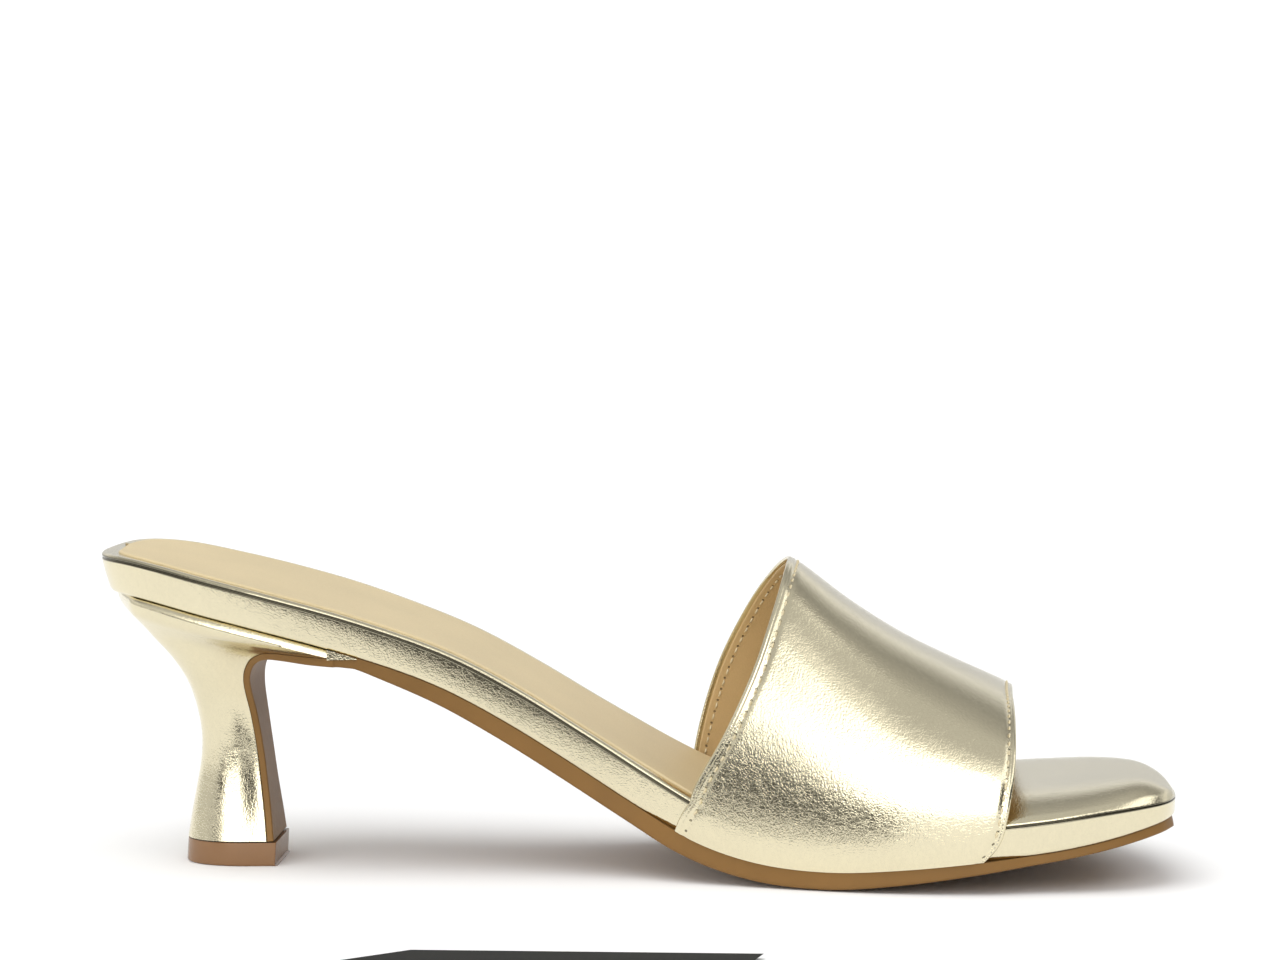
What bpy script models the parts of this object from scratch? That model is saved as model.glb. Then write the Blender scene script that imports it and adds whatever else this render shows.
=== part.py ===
"""A slip-on sandal: one wide band over the forefoot, an open square toe and a waisted heel.

It is the left shoe of a pair. It stands on its top lift and on the ball of its outsole. +X points to the
toe, +Y to the outer side of the foot and +Z up, and the origin lies on the floor under the shoe's middle.
Places along the shoe are shares of LENGTH from the heel back, and places across it shares of BALL_WIDTH.
"""

import bmesh
import bpy
import numpy as np

# The whole shoe, in metres
LENGTH = 0.2292  # heel back to toe tip
BALL_WIDTH = 0.0776  # footbed, at its widest
SEAT_RISE = 0.0544  # underside of the footbed at the heel, above the ball
TOE_SPRING = 0.0105  # the same at the toe tip
CLEARANCE = 0.0003  # between pieces that lie on each other

# Footbed
BED_THICKNESS = 0.0076
BED_EDGE = 0.0012  # radius of its upper edge
BED_TUCK = 0.0020  # its side draws in this far under the heel back
BED_CROWN = 0.0034  # at the toe

# Insock
SOCK_INSET = 0.0035
SOCK_THICKNESS = 0.0005
SOCK_SEAT = 0.0004  # its clearance, over a bed that is bent two ways
SOCK_LENGTH = 0.182  # its front end lies under the band

# Outsole
SOLE_THICKNESS = 0.0036  # in the waist
FLAP_THICKNESS = 0.0011  # on the breast of the heel
SOLE_CROWN = 0.0006
STANDING_FLAT = 0.0003  # worn off the crown under the ball

# Upper band
BAND_WALL = 0.0015
BAND_RISE = 0.0615  # ridge at its back edge, above the ball of the footbed

# Heel and top lift
SEAT_STEP = 0.0008  # seat's edge in from the footbed's
NECK_WIDTH = 0.0162
NECK_SETBACK = 0.0181  # neck's back ahead of the seat's back
LIFT_WIDTH = 0.0216
LIFT_HEIGHT = 0.0050
LIFT_FLARE = 0.0003
LIFT_AHEAD = 0.0008  # its front, ahead of the outsole's flap
BREAST_FOOT = 0.0365  # foot of the breast, ahead of the heel back

# Places along the shoe where something changes, as shares of LENGTH
BALL = 0.678  # where the outsole touches the floor
CROWN_ENDS = 0.045  # length in which the footbed's crown fades out at the heel and at the toe
CROWNED_FROM = (0.40, 0.55)  # the outsole's crown grows between these
WALL_ON_SOLE = (0.50, 0.55, 0.825, 0.875)  # the outsole is wide enough for the band's wall between these

PER_SPAN = 3  # steps between two rows of the plan
PATH_STEPS = (12, 240)  # along the outsole's path: in each span of the breast, and ahead of it
CAP_STEPS = 8  # steps across a cap
RIB_STEPS = 8  # steps across the outsole
FLAP_STEPS = 29  # ribs down the breast
BAND_STEPS = (34, 14)  # around and along the band


def table(columns, *rows):
    """A table with a row for each section, kept as one array for each named column."""
    return {name: np.array(values) for name, values in zip(columns.split(), zip(*rows))}


PLAN = table(
    "along inner outer",
    (0.0005, -0.015, -0.015),
    (0.007, -0.150, 0.140),
    (0.028, -0.240, 0.225),
    (0.065, -0.312, 0.300),
    (0.130, -0.352, 0.343),
    (0.210, -0.357, 0.345),
    (0.310, -0.336, 0.290),
    (0.430, -0.316, 0.282),
    (0.530, -0.337, 0.360),
    (0.630, -0.412, 0.461),
    (0.730, -0.484, 0.496),
    (0.820, -0.500, 0.497),
    (0.900, -0.483, 0.428),
    (0.940, -0.456, 0.305),
    (0.963, -0.418, 0.165),
    (0.982, -0.368, 0.020),
    (0.992, -0.315, -0.120),
    (0.9975, -0.225, -0.225),
)

# How the underside of the footbed rises from the ball: shares of SEAT_RISE and of TOE_SPRING. Tuck
# is the share of BED_TUCK by which its side draws in, thick that of BED_THICKNESS, and crown that of
# BED_CROWN, below nothing where the bed is hollow.
PROFILE = table(
    "along seat toe tuck thick crown",
    (0.000, 1.000, 0.0, 1.00, 1.11, -0.10),
    (0.026, 1.006, 0.0, 0.98, 1.10, -0.10),
    (0.054, 0.992, 0.0, 0.88, 1.08, -0.10),
    (0.103, 0.946, 0.0, 0.75, 1.07, -0.10),
    (0.157, 0.892, 0.0, 0.67, 1.06, -0.10),
    (0.248, 0.789, 0.0, 0.60, 1.03, -0.10),
    (0.330, 0.663, 0.0, 0.50, 1.00, -0.10),
    (0.391, 0.523, 0.0, 0.45, 1.00, -0.10),
    (0.457, 0.349, 0.0, 0.38, 1.00, -0.08),
    (0.513, 0.200, 0.0, 0.35, 1.03, 0.00),
    (0.565, 0.084, 0.0, 0.32, 1.03, 0.14),
    (0.613, 0.025, 0.0, 0.30, 1.02, 0.35),
    (0.678, 0.000, 0.0, 0.30, 1.00, 0.65),
    (0.752, 0.000, 0.10, 0.30, 1.00, 0.92),
    (0.822, 0.000, 0.27, 0.30, 1.00, 1.18),
    (0.896, 0.000, 0.48, 0.30, 0.96, 1.08),
    (0.930, 0.000, 0.63, 0.28, 0.89, 1.04),
    (0.965, 0.000, 0.81, 0.20, 0.72, 1.15),
    (1.000, 0.000, 1.00, 0.10, 0.48, 1.20),
)

# Thickness of the outsole, a share of the way from FLAP_THICKNESS to SOLE_THICKNESS
SOLE = table(
    "along full",
    (0.235, 0.25),
    (0.290, 0.70),
    (0.350, 0.91),
    (0.510, 1.00),
    (0.575, 1.00),
    (0.680, 0.95),
    (0.790, 0.60),
    (0.850, 0.34),
    (1.000, 0.25),
)

# The outsole's upper face where it has left the footbed: ahead of the breast's foot, as a share of
# LENGTH, and up from the top lift, as a share of the height where it leaves
BREAST = table(
    "ahead height",
    (0.0000, 0.000),
    (-0.0022, 0.120),
    (-0.0060, 0.290),
    (-0.0100, 0.470),
    (-0.0152, 0.660),
    (-0.0190, 0.780),
    (-0.0195, 0.855),
    (-0.0165, 0.915),
    (-0.0100, 0.965),
    (0.0010, 0.994),
    (0.0170, 1.000),
    (0.0500, 0.996),
)
LEAVE = 0.252  # where the outsole leaves the footbed
WING = 0.230  # tips of the heel's two wings

# Rings of the heel: run is the place of their front on the breast, from the wings down; height that
# of their back, from the top lift up; back their way from the seat's back to the neck's. Their width
# is mixed from the seat's, the top lift's and, for the rest, the neck's.
HEEL = table(
    "run height back seat lift",
    (0.00, 1.000, 0.00, 1.00, 0.0),
    (0.09, 0.950, 0.04, 0.88, 0.0),
    (0.20, 0.895, 0.195, 0.68, 0.0),
    (0.31, 0.825, 0.390, 0.44, 0.0),
    (0.41, 0.740, 0.63, 0.23, 0.0),
    (0.50, 0.640, 0.825, 0.08, 0.0),
    (0.59, 0.535, 0.94, 0.02, 0.0),
    (0.68, 0.420, 1.00, 0.00, 0.0),
    (0.77, 0.310, 0.99, 0.00, 0.1),
    (0.86, 0.195, 0.93, 0.00, 0.36),
    (0.94, 0.085, 0.87, 0.00, 0.72),
    (1.00, 0.000, 0.83, 0.00, 1.0),
)
HEEL_STEPS = 26  # rings
HEEL_SIDE = 12  # points on each side of a ring
NECK_CORNER = 0.86  # width of the breast at the neck, as a share of the ring's
LIFT_CORNER = 0.94  # the same at the top lift
HEEL_CENTRE = -0.015  # its middle across the shoe
SEAT_ROUND = 0.12  # share of the seat's length in which it widens from its back
SHAFT_ROUND = 0.62  # the same for the shaft
SHAFT_POWER = 2.2  # how square the shaft's back is
FLAP_FULL = (0.75, 1.05)  # the outsole thickens between these shares of the way from foot to wings

# The band's edges, from the bottom of its inner side (0) over the foot to that of its outer side (1)
EDGES = table(
    "around back front",
    (0.00, 0.542, 0.827),
    (0.02, 0.546, 0.839),
    (0.05, 0.554, 0.845),
    (0.12, 0.586, 0.851),
    (0.20, 0.612, 0.854),
    (0.30, 0.630, 0.854),
    (0.40, 0.639, 0.852),
    (0.48, 0.641, 0.849),
    (0.56, 0.638, 0.847),
    (0.66, 0.620, 0.846),
    (0.76, 0.592, 0.845),
    (0.86, 0.561, 0.841),
    (0.95, 0.539, 0.835),
    (1.00, 0.529, 0.827),
)

# The band's cross sections: ridge as a share of BAND_RISE, its place across, and how square they are
RIDGE = table(
    "along rise side square",
    (0.520, 1.240, -0.060, 2.30),
    (0.590, 1.105, -0.055, 2.35),
    (0.643, 0.998, -0.050, 2.40),
    (0.696, 0.847, -0.045, 2.45),
    (0.745, 0.731, -0.040, 2.40),
    (0.790, 0.646, -0.030, 2.40),
    (0.835, 0.568, -0.020, 2.40),
    (0.870, 0.505, -0.015, 2.40),
)
BAND_FOOT = 0.055  # share of the way around that lies on each side of the footbed
BAND_SPRING = 0.9  # height on the footbed's side, as a share of its thickness, where the band turns over

MATERIALS = {  # colour, roughness, metallic
    "gold_leather": ((0.72, 0.62, 0.42), 0.28, 1.0),
    "tan_lining": ((0.74, 0.58, 0.38), 0.60, 0.0),
    "sole_brown": ((0.24, 0.13, 0.06), 0.50, 0.0),
    "lift_brown": ((0.30, 0.17, 0.09), 0.35, 0.0),
}


def cubic(places, values, at):
    """A smooth curve through a table's values: cubics whose slopes at the rows are weighted means."""
    at = np.clip(at, places[0], places[-1])
    step = np.diff(places)
    rise = np.diff(values) / step
    slope = np.empty(len(places))
    slope[1:-1] = (step[1:] * rise[:-1] + step[:-1] * rise[1:]) / (step[1:] + step[:-1])
    slope[0] = 1.5 * rise[0] - 0.5 * slope[1]
    slope[-1] = 1.5 * rise[-1] - 0.5 * slope[-2]
    row = np.clip(np.searchsorted(places, at) - 1, 0, len(step) - 1)
    t = (at - places[row]) / step[row]
    return (
        values[row] * (1 + 2 * t) * (1 - t) ** 2
        + values[row + 1] * (3 - 2 * t) * t**2
        + step[row] * (slope[row] * t * (1 - t) ** 2 - slope[row + 1] * t**2 * (1 - t))
    )


def read(rows, column, at, by="along"):
    return cubic(rows[by], rows[column], at)


def through(points, per_span, closed=False):
    """A smooth curve through points in a plane, with equal steps in each span."""
    points = np.asarray(points)
    if closed:
        wide = np.concatenate([points[-3:], points, points[:4]])
    else:
        wide = points
    places = np.concatenate([[0], np.cumsum(np.sqrt(np.linalg.norm(np.diff(wide, axis=0), axis=1)))])
    steps = np.interp(np.arange((len(wide) - 1) * per_span + 1) / per_span, np.arange(len(wide)), places)
    curve = np.stack([cubic(places, wide[:, axis], steps) for axis in (0, 1)], axis=1)
    return curve[3 * per_span : -4 * per_span] if closed else curve


def inwards(loop):
    """Unit normals of a closed outline that runs along the inner side first, pointing to its inside."""
    along = np.roll(loop, -1, axis=0) - np.roll(loop, 1, axis=0)
    along /= np.linalg.norm(along, axis=1, keepdims=True)
    return np.stack([-along[:, 1], along[:, 0]], axis=1)


def plan_loop():
    """Outline of the footbed seen from above, from the heel back along the inner side."""
    inner = np.stack([PLAN["along"] * LENGTH, PLAN["inner"] * BALL_WIDTH], axis=1)
    outer = np.stack([PLAN["along"] * LENGTH, PLAN["outer"] * BALL_WIDTH], axis=1)
    return through(np.concatenate([inner, outer[-2:0:-1]]), PER_SPAN, closed=True)


LOOP = plan_loop()
LOOP_IN = inwards(LOOP)
HALF = len(LOOP) // 2  # index of the toe tip


def side(x, which):
    """Where the footbed's edge lies across the shoe at x: which is -1 for the inner side, 1 for the outer."""
    chain = LOOP[: HALF + 1] if which < 0 else np.concatenate([LOOP[:1], LOOP[: HALF - 1 : -1]])
    return np.interp(x, chain[:, 0], chain[:, 1])


def tuck(x):
    return BED_TUCK * read(PROFILE, "tuck", x / LENGTH)


def sole_depth(x):
    """Thickness of the outsole across its face."""
    return FLAP_THICKNESS + (SOLE_THICKNESS - FLAP_THICKNESS) * read(SOLE, "full", x / LENGTH)


BALL_LEVEL = sole_depth(BALL * LENGTH) + SOLE_CROWN + CLEARANCE - STANDING_FLAT


def bed_under(x):
    """Height of the footbed's underside."""
    seat = SEAT_RISE * read(PROFILE, "seat", x / LENGTH)
    return BALL_LEVEL + seat + TOE_SPRING * read(PROFILE, "toe", x / LENGTH)


def stretch(x):
    """Upright thickness over thickness, where the footbed slopes."""
    slope = (bed_under(x + 1e-3) - bed_under(x - 1e-3)) / 2e-3
    return np.sqrt(1 + slope**2)


def crown(x, y):
    """Height of the footbed's crown: level in the middle of the shoe, falling to nothing at its edge."""
    low, high = side(x, -1), side(x, 1)
    across = (2 * y - low - high) / np.maximum(high - low, 1e-4)
    fade = CROWN_ENDS * LENGTH
    ends = np.clip(x / fade, 0, 1) * np.clip((LENGTH - x) / fade, 0, 1)
    full = BED_CROWN * read(PROFILE, "crown", x / LENGTH)
    return full * np.clip(1 - across**6, 0, 1) * ends * (2 - ends)


def bed_depth(x):
    """Upright thickness of the footbed."""
    return BED_THICKNESS * read(PROFILE, "thick", x / LENGTH) * stretch(x)


def bed_top(x, y):
    return bed_under(x) + bed_depth(x) + crown(x, y)


def to_frame(points):
    """From the heel back to the origin under the shoe's middle."""
    return points - np.array([LENGTH / 2, 0, 0])


def object_from(name, material, points, faces):
    """One named object from its corners and faces."""
    mesh = bpy.data.meshes.new(name)
    mesh.from_pydata(to_frame(points).tolist(), [], faces)
    body = bmesh.new()
    body.from_mesh(mesh)
    bmesh.ops.remove_doubles(body, verts=body.verts, dist=1e-6)
    bmesh.ops.recalc_face_normals(body, faces=body.faces)
    body.to_mesh(mesh)
    body.free()
    mesh.shade_smooth()
    mesh.set_sharp_from_angle(angle=np.radians(40))
    piece = bpy.data.objects.new(name, mesh)
    piece.data.materials.append(material)
    return piece


def ring_faces(rings, count):
    """Quads between closed rings of the same count, each ring after the other."""
    faces = []
    for ring in range(rings - 1):
        for i in range(count):
            j = (i + 1) % count
            low, high = ring * count, (ring + 1) * count
            faces.append((low + i, low + j, high + j, high + i))
    return faces


def rib_cap(loop, surface, start, offset):
    """Closes a loop with ribs between its two sides, whose inner points lie on the surface.

    The points of a rib draw together towards its ends. The loop's corners have the indices from start
    on, and the ribs' own points those from offset on."""
    count = len(loop)
    shares = (1 - np.cos(np.linspace(0, np.pi, CAP_STEPS + 1))) / 2
    ribs = []
    points = []
    for i in range(1, count // 2):
        j = count - i
        rib = [start + i]
        for share in shares[1:-1]:
            x, y = loop[i] + (loop[j] - loop[i]) * share
            points.append(surface(x, y))
            rib.append(offset + len(points) - 1)
        rib.append(start + j)
        ribs.append(rib)
    faces = [(start, a, b) for a, b in zip(ribs[0], ribs[0][1:])]
    for rib, after in zip(ribs, ribs[1:]):
        faces += [(rib[k], after[k], after[k + 1], rib[k + 1]) for k in range(CAP_STEPS)]
    faces += [(start + count // 2, a, b) for a, b in zip(ribs[-1], ribs[-1][1:])]
    return points, faces


def slab(name, material, rings, under, over):
    """A solid skinned over rings of one plan each, closed below and above with ribs.

    A ring is its plan and its heights; under and over place a rib's point from its plan."""
    count = len(rings[0][0])
    points = [np.column_stack([plan, heights]) for plan, heights in rings]
    faces = ring_faces(len(rings), count)
    total = len(rings) * count
    for (plan, _), surface, start in ((rings[0], under, 0), (rings[-1], over, total - count)):
        more, cap = rib_cap(plan, surface, start, total)
        points.append(np.array(more))
        faces += cap
        total += len(more)
    return object_from(name, material, np.concatenate(points), faces)


def footbed(material):
    """Each ring is drawn in from the plan and lifted from the underside: tuck below, round edge above."""
    steps = (  # share of the tuck, of the edge radius drawn in, of the thickness
        (1.00, 0.5, 0.00),
        (0.88, 0.0, 0.12),
        (0.30, 0.0, 0.60),
        (0.00, 0.0, 0.91),
        (0.00, 0.25, 0.975),
        (0.00, 1.0, 1.00),
    )
    rings = []
    for drawn, rounded, level in steps:
        inset = drawn * tuck(LOOP[:, 0]) + rounded * BED_EDGE
        plan = LOOP + LOOP_IN * inset[:, None]
        x = plan[:, 0]
        lift = crown(x, plan[:, 1]) if level == 1 else 0
        rings.append((plan, bed_under(x) + level * bed_depth(x) + lift))
    return slab(
        "footbed",
        material,
        rings,
        lambda x, y: (x, y, bed_under(x)),
        lambda x, y: (x, y, bed_top(x, y)),
    )


def sock_loop():
    """Outline of the insock: the footbed's, drawn in, and cut straight across under the band."""
    edge = LOOP + LOOP_IN * SOCK_INSET
    inner = edge[: HALF + 1]
    outer = np.concatenate([edge[:1], edge[: HALF - 1 : -1]])
    x = np.append(inner[1:, 0][inner[1:, 0] < SOCK_LENGTH], SOCK_LENGTH)
    low = np.interp(x, inner[:, 0], inner[:, 1])
    high = np.interp(x, outer[:, 0], outer[:, 1])
    front = [[SOCK_LENGTH, (low[-1] + high[-1]) / 2]]
    return np.concatenate([edge[:1], np.column_stack([x, low]), front, np.column_stack([x, high])[::-1]])


def insock(material):
    loop = sock_loop()
    into = inwards(loop)
    steps = ((0.0, 0.0), (0.0, 0.6), (0.5, 1.0))  # shares of the thickness: drawn in, lifted
    rings = []
    for drawn, level in steps:
        plan = loop + into * drawn * SOCK_THICKNESS
        heights = bed_top(plan[:, 0], plan[:, 1]) + SOCK_SEAT + level * SOCK_THICKNESS
        rings.append((plan, heights))
    return slab(
        "insock",
        material,
        rings,
        lambda x, y: (x, y, bed_top(x, y) + SOCK_SEAT),
        lambda x, y: (x, y, bed_top(x, y) + SOCK_SEAT + SOCK_THICKNESS),
    )


def sole_path():
    """The outsole's upper face in the middle of the shoe, from the foot of the breast to the toe tip."""
    leave = LEAVE * LENGTH
    ahead = np.linspace(leave, LENGTH, PATH_STEPS[1])
    forepart = np.stack([ahead, bed_under(ahead) - CLEARANCE], axis=1)
    drop = forepart[0, 1] - LIFT_HEIGHT - CLEARANCE
    breast = np.stack(
        [
            BREAST_FOOT + BREAST["ahead"] * LENGTH,
            LIFT_HEIGHT + CLEARANCE + BREAST["height"] * drop,
        ],
        axis=1,
    )
    back = through(np.concatenate([breast, forepart[:1]]), PATH_STEPS[0])
    path = np.concatenate([back, forepart[1:]])
    reach = np.concatenate([[0], np.cumsum(np.linalg.norm(np.diff(path, axis=0), axis=1))])
    normal = np.gradient(path, reach, axis=0)
    normal = np.stack([-normal[:, 1], normal[:, 0]], axis=1)
    normal /= np.linalg.norm(normal, axis=1, keepdims=True)
    return path, reach, normal


PATH, REACH, NORMAL = sole_path()
LEAVE_ROW = int(np.argmax(PATH[:, 0] >= LEAVE * LENGTH - 1e-9))
NEAR_WING = slice(LEAVE_ROW // 2, LEAVE_ROW + 1)
WING_REACH = float(np.interp(WING * LENGTH, PATH[NEAR_WING, 0], REACH[NEAR_WING]))


def on_path(reach, lift):
    """The point of the path at a reach from the breast's foot, lifted across the face."""
    place = np.stack([np.interp(reach, REACH, PATH[:, k]) for k in (0, 1)], axis=-1)
    across = np.stack([np.interp(reach, REACH, NORMAL[:, k]) for k in (0, 1)], axis=-1)
    return place + across * np.asarray(lift)[..., None]


def seat_back():
    """The seat's back, where the heel starts under the footbed."""
    return PLAN["along"][0] * LENGTH + tuck(0.0) + SEAT_STEP


def seat_side(share, which):
    """The heel's side under the footbed, as a width from its middle: share runs from back to wings."""
    x = seat_back() + share * (WING * LENGTH - seat_back())
    whole = (side(x, which) - HEEL_CENTRE * BALL_WIDTH) * which
    start = (side(seat_back(), which) - HEEL_CENTRE * BALL_WIDTH) * which
    eased = np.clip(share / SEAT_ROUND, 0, 1)
    inset = tuck(x) + SEAT_STEP * (1 - share)
    return np.maximum(whole - inset - (1 - eased) * np.maximum(start - inset, 0), 0)


def heel_side(share, run, which):
    """Width of the heel from its middle, on a ring whose front lies at a run down the breast."""
    seat = np.clip(read(HEEL, "seat", run, "run"), 0, 1)
    lift = np.clip(read(HEEL, "lift", run, "run"), 0, 1)
    shaft = (NECK_WIDTH + lift * (LIFT_WIDTH - 2 * LIFT_FLARE - NECK_WIDTH)) / 2
    round_back = (1 - (1 - np.clip(share / SHAFT_ROUND, 0, 1)) ** SHAFT_POWER) ** (1 / SHAFT_POWER)
    ease = np.clip((share - SHAFT_ROUND) / (1 - SHAFT_ROUND), 0, 1)
    corner = NECK_CORNER + lift * (LIFT_CORNER - NECK_CORNER)
    nip = 1 - (1 - corner) * ease**2 * (3 - 2 * ease)
    return seat * seat_side(share, which) + (1 - seat) * shaft * round_back * nip


def breast_reach(run):
    return WING_REACH * (1 - run)


def heel_ring(run):
    """Points of one ring, from the inner corner of the breast round the back to the outer one."""
    share = 1 - np.cos(np.linspace(0, 1, HEEL_SIDE + 1) * np.pi / 2)
    level = read(HEEL, "height", run, "run")
    top = bed_under(seat_back()) - CLEARANCE
    low = LIFT_HEIGHT + CLEARANCE
    back = np.array([
        seat_back() + read(HEEL, "back", run, "run") * NECK_SETBACK,
        low + level * (top - low),
    ])
    if run == 0:
        front = np.array([WING * LENGTH, bed_under(WING * LENGTH) - CLEARANCE])
    else:
        front = on_path(breast_reach(run), CLEARANCE)
    line = back + share[:, None] * (front - back)
    if run == 0:
        line[:, 1] = bed_under(line[:, 0]) - CLEARANCE
    centre = HEEL_CENTRE * BALL_WIDTH
    inner = np.column_stack([line[:, 0], centre - heel_side(share, run, -1), line[:, 1]])
    outer = np.column_stack([line[:, 0], centre + heel_side(share, run, 1), line[:, 1]])
    return np.concatenate([inner[::-1], outer[1:]])


def strip_cap(start, count):
    """Closes a ring that is open at its front with strips from its inner to its outer side."""
    faces = []
    for i in range(count // 2):
        a, b, c, d = start + i, start + i + 1, start + count - 2 - i, start + count - 1 - i
        faces.append((a, b, c, d) if b != c else (a, b, d))
    return faces


def heel(material):
    """Rings from under the footbed down the breast to the top lift."""
    runs = np.concatenate([[0.0], np.linspace(0.004, 1, HEEL_STEPS)])
    rings = [heel_ring(run) for run in runs]
    count = len(rings[0])
    faces = ring_faces(len(rings), count)
    faces += strip_cap(0, count) + strip_cap((len(rings) - 1) * count, count)
    return object_from("heel", material, np.concatenate(rings), faces)


def top_lift(material):
    """The heel's last ring with the flap of the outsole in front of it, a little wider at the floor."""
    ring = heel_ring(1.0)
    centre = HEEL_CENTRE * BALL_WIDTH
    back = ring[:, 0].min()
    front = ring[:, 0].max()
    grown = (front + FLAP_THICKNESS + LIFT_AHEAD - back) / (front - back)
    rings = []
    for height, flare in ((LIFT_HEIGHT, 0.0), (0.10 * LIFT_HEIGHT, 1.0), (0.0, 0.6)):
        wider = 1 + 2 * flare * LIFT_FLARE / LIFT_WIDTH
        x = back - flare * LIFT_FLARE + (ring[:, 0] - back) * grown
        y = centre + (ring[:, 1] - centre) * wider
        rings.append(np.column_stack([x, y, np.full(len(x), height)]))
    count = len(ring)
    faces = ring_faces(len(rings), count)
    faces += strip_cap(0, count) + strip_cap((len(rings) - 1) * count, count)
    return object_from("top_lift", material, np.concatenate(rings), faces)


def under_band(x):
    """1 where the band's wall stands on the outsole, 0 away from it."""
    both = np.interp(x / LENGTH, WALL_ON_SOLE, (0, 1, 1, 0))
    return both * both * (3 - 2 * both)


def sole_loop():
    """The outsole laid flat: places along its path and across it, from the breast's foot to the toe.

    The first chain is the inner side with the tip, the second the outer side back to the breast."""
    forepart = LOOP[:, 0] > LEAVE * LENGTH
    inset = tuck(LOOP[:, 0]) + 0.3 * BED_EDGE - under_band(LOOP[:, 0]) * (CLEARANCE + BAND_WALL)
    bed = LOOP + LOOP_IN * inset[:, None]
    reach = np.interp(bed[:, 0], PATH[LEAVE_ROW:, 0], REACH[LEAVE_ROW:])
    beyond = np.maximum(bed[:, 0] - LENGTH, 0)
    bed = np.column_stack([reach + beyond, bed[:, 1]])
    runs = np.linspace(1, 0, FLAP_STEPS + 1)
    centre = HEEL_CENTRE * BALL_WIDTH
    one = np.ones(1)
    wide = [
        [float(centre + which * heel_side(one, run, which)[0]) for run in runs] for which in (-1, 1)
    ]
    flap = [np.column_stack([breast_reach(runs), values]) for values in wide]
    inner = np.concatenate([flap[0], bed[: HALF + 1][forepart[: HALF + 1]]])
    outer = np.concatenate([bed[HALF + 1 :][forepart[HALF + 1 :]], flap[1][::-1]])
    return inner, outer


def outsole(material):
    """Ribs across the laid-out sole, each bent round the path: upper face, edges and crowned underside."""
    inner, outer = sole_loop()
    tip = inner[-1]
    rows = min(len(inner) - 1, len(outer))
    sections = [sole_rib(a, b) for a, b in zip(inner[:rows], outer[::-1][:rows])]
    count = len(sections[0])
    half = count // 2
    faces = ring_faces(rows, count) + strip_cap(0, count)
    last = (rows - 1) * count
    total = rows * count
    for k in range(half - 1):
        faces.append((last + k, last + k + 1, total))
        faces.append((last + half + k, last + half + k + 1, total + 1))
    faces.append((last + half - 1, last + half, total + 1, total))
    faces.append((last + count - 1, last, total, total + 1))
    nose = sole_rib(tip, tip)[[0, half]]
    return object_from("outsole", material, np.concatenate([*sections, nose]), faces)


def sole_rib(a, b):
    """One closed rib of the sole: its upper points from inner to outer, then its lower ones back."""
    across = np.linspace(0, 1, RIB_STEPS + 1)
    reach = a[0] + (b[0] - a[0]) * across
    y = a[1] + (b[1] - a[1]) * across
    top = on_path(reach, np.zeros(len(reach)))
    full = np.interp(reach / WING_REACH, FLAP_FULL, (0, 1))
    depth = FLAP_THICKNESS + (sole_depth(np.maximum(top[:, 0], 0)) - FLAP_THICKNESS) * full
    crowned = np.interp(top[:, 0] / LENGTH, CROWNED_FROM, (0, 1))
    bulge = SOLE_CROWN * (1 - (2 * across - 1) ** 2) * crowned
    low = on_path(reach, -(depth + bulge))
    low[:, 1] = np.maximum(low[:, 1], 0)
    upper = np.column_stack([top[:, 0], y, top[:, 1]])
    lower = np.column_stack([low[:, 0], y, low[:, 1]])
    return np.concatenate([upper, lower[::-1]])


def band_surface(x, around):
    """A point of the band's outer face: up the footbed's side, then a squared half round over the foot."""
    which = np.where(around < 0.5, -1.0, 1.0)
    nearest = np.minimum(around, 1 - around)
    bed = np.where(which < 0, side(x, -1), side(x, 1))
    out = bed + which * (CLEARANCE + BAND_WALL)
    low = bed_under(x)
    spring = low + BAND_SPRING * bed_depth(x)
    foot = np.clip(nearest / BAND_FOOT, 0, 1)
    turn = np.clip((nearest - BAND_FOOT) / (0.5 - BAND_FOOT), 0, 1) * np.pi / 2
    power = 2 / read(RIDGE, "square", x / LENGTH)
    ridge_y = read(RIDGE, "side", x / LENGTH) * BALL_WIDTH
    ridge_z = BALL_LEVEL + BAND_RISE * read(RIDGE, "rise", x / LENGTH)
    over = np.cos(turn) ** power
    y = ridge_y + (out - ridge_y) * over - which * (1 - foot) ** 2 * tuck(x)
    over_foot = spring + (ridge_z - spring) * np.sin(turn) ** power
    z = np.where(foot < 1, low + foot * (spring - low), over_foot)
    return np.stack([x, y, z], axis=-1)


def upper_band(material):
    """The outer face as an open sheet, which Solidify gives its wall."""
    foot = np.array([0.0, 0.5]) * BAND_FOOT
    over_foot = np.linspace(BAND_FOOT, 1 - BAND_FOOT, BAND_STEPS[0] + 1)
    around = np.concatenate([foot, over_foot, 1 - foot[::-1]])
    share = np.linspace(0, 1, BAND_STEPS[1] + 1)
    back = LENGTH * read(EDGES, "back", around, "around")
    front = LENGTH * read(EDGES, "front", around, "around")
    x = back[:, None] + (front - back)[:, None] * share
    points = band_surface(x, np.repeat(around[:, None], len(share), axis=1))
    rows, columns = x.shape
    faces = [
        (r * columns + c, r * columns + c + 1, (r + 1) * columns + c + 1, (r + 1) * columns + c)
        for r in range(rows - 1)
        for c in range(columns - 1)
    ]
    mesh = bpy.data.meshes.new("upper_band")
    mesh.from_pydata(to_frame(points.reshape(-1, 3)).tolist(), [], faces)
    mesh.shade_smooth()
    piece = bpy.data.objects.new("upper_band", mesh)
    piece.data.materials.append(material)
    wall = piece.modifiers.new("wall", "SOLIDIFY")
    wall.thickness = BAND_WALL
    wall.offset = -1
    wall.use_even_offset = True
    return piece


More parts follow.
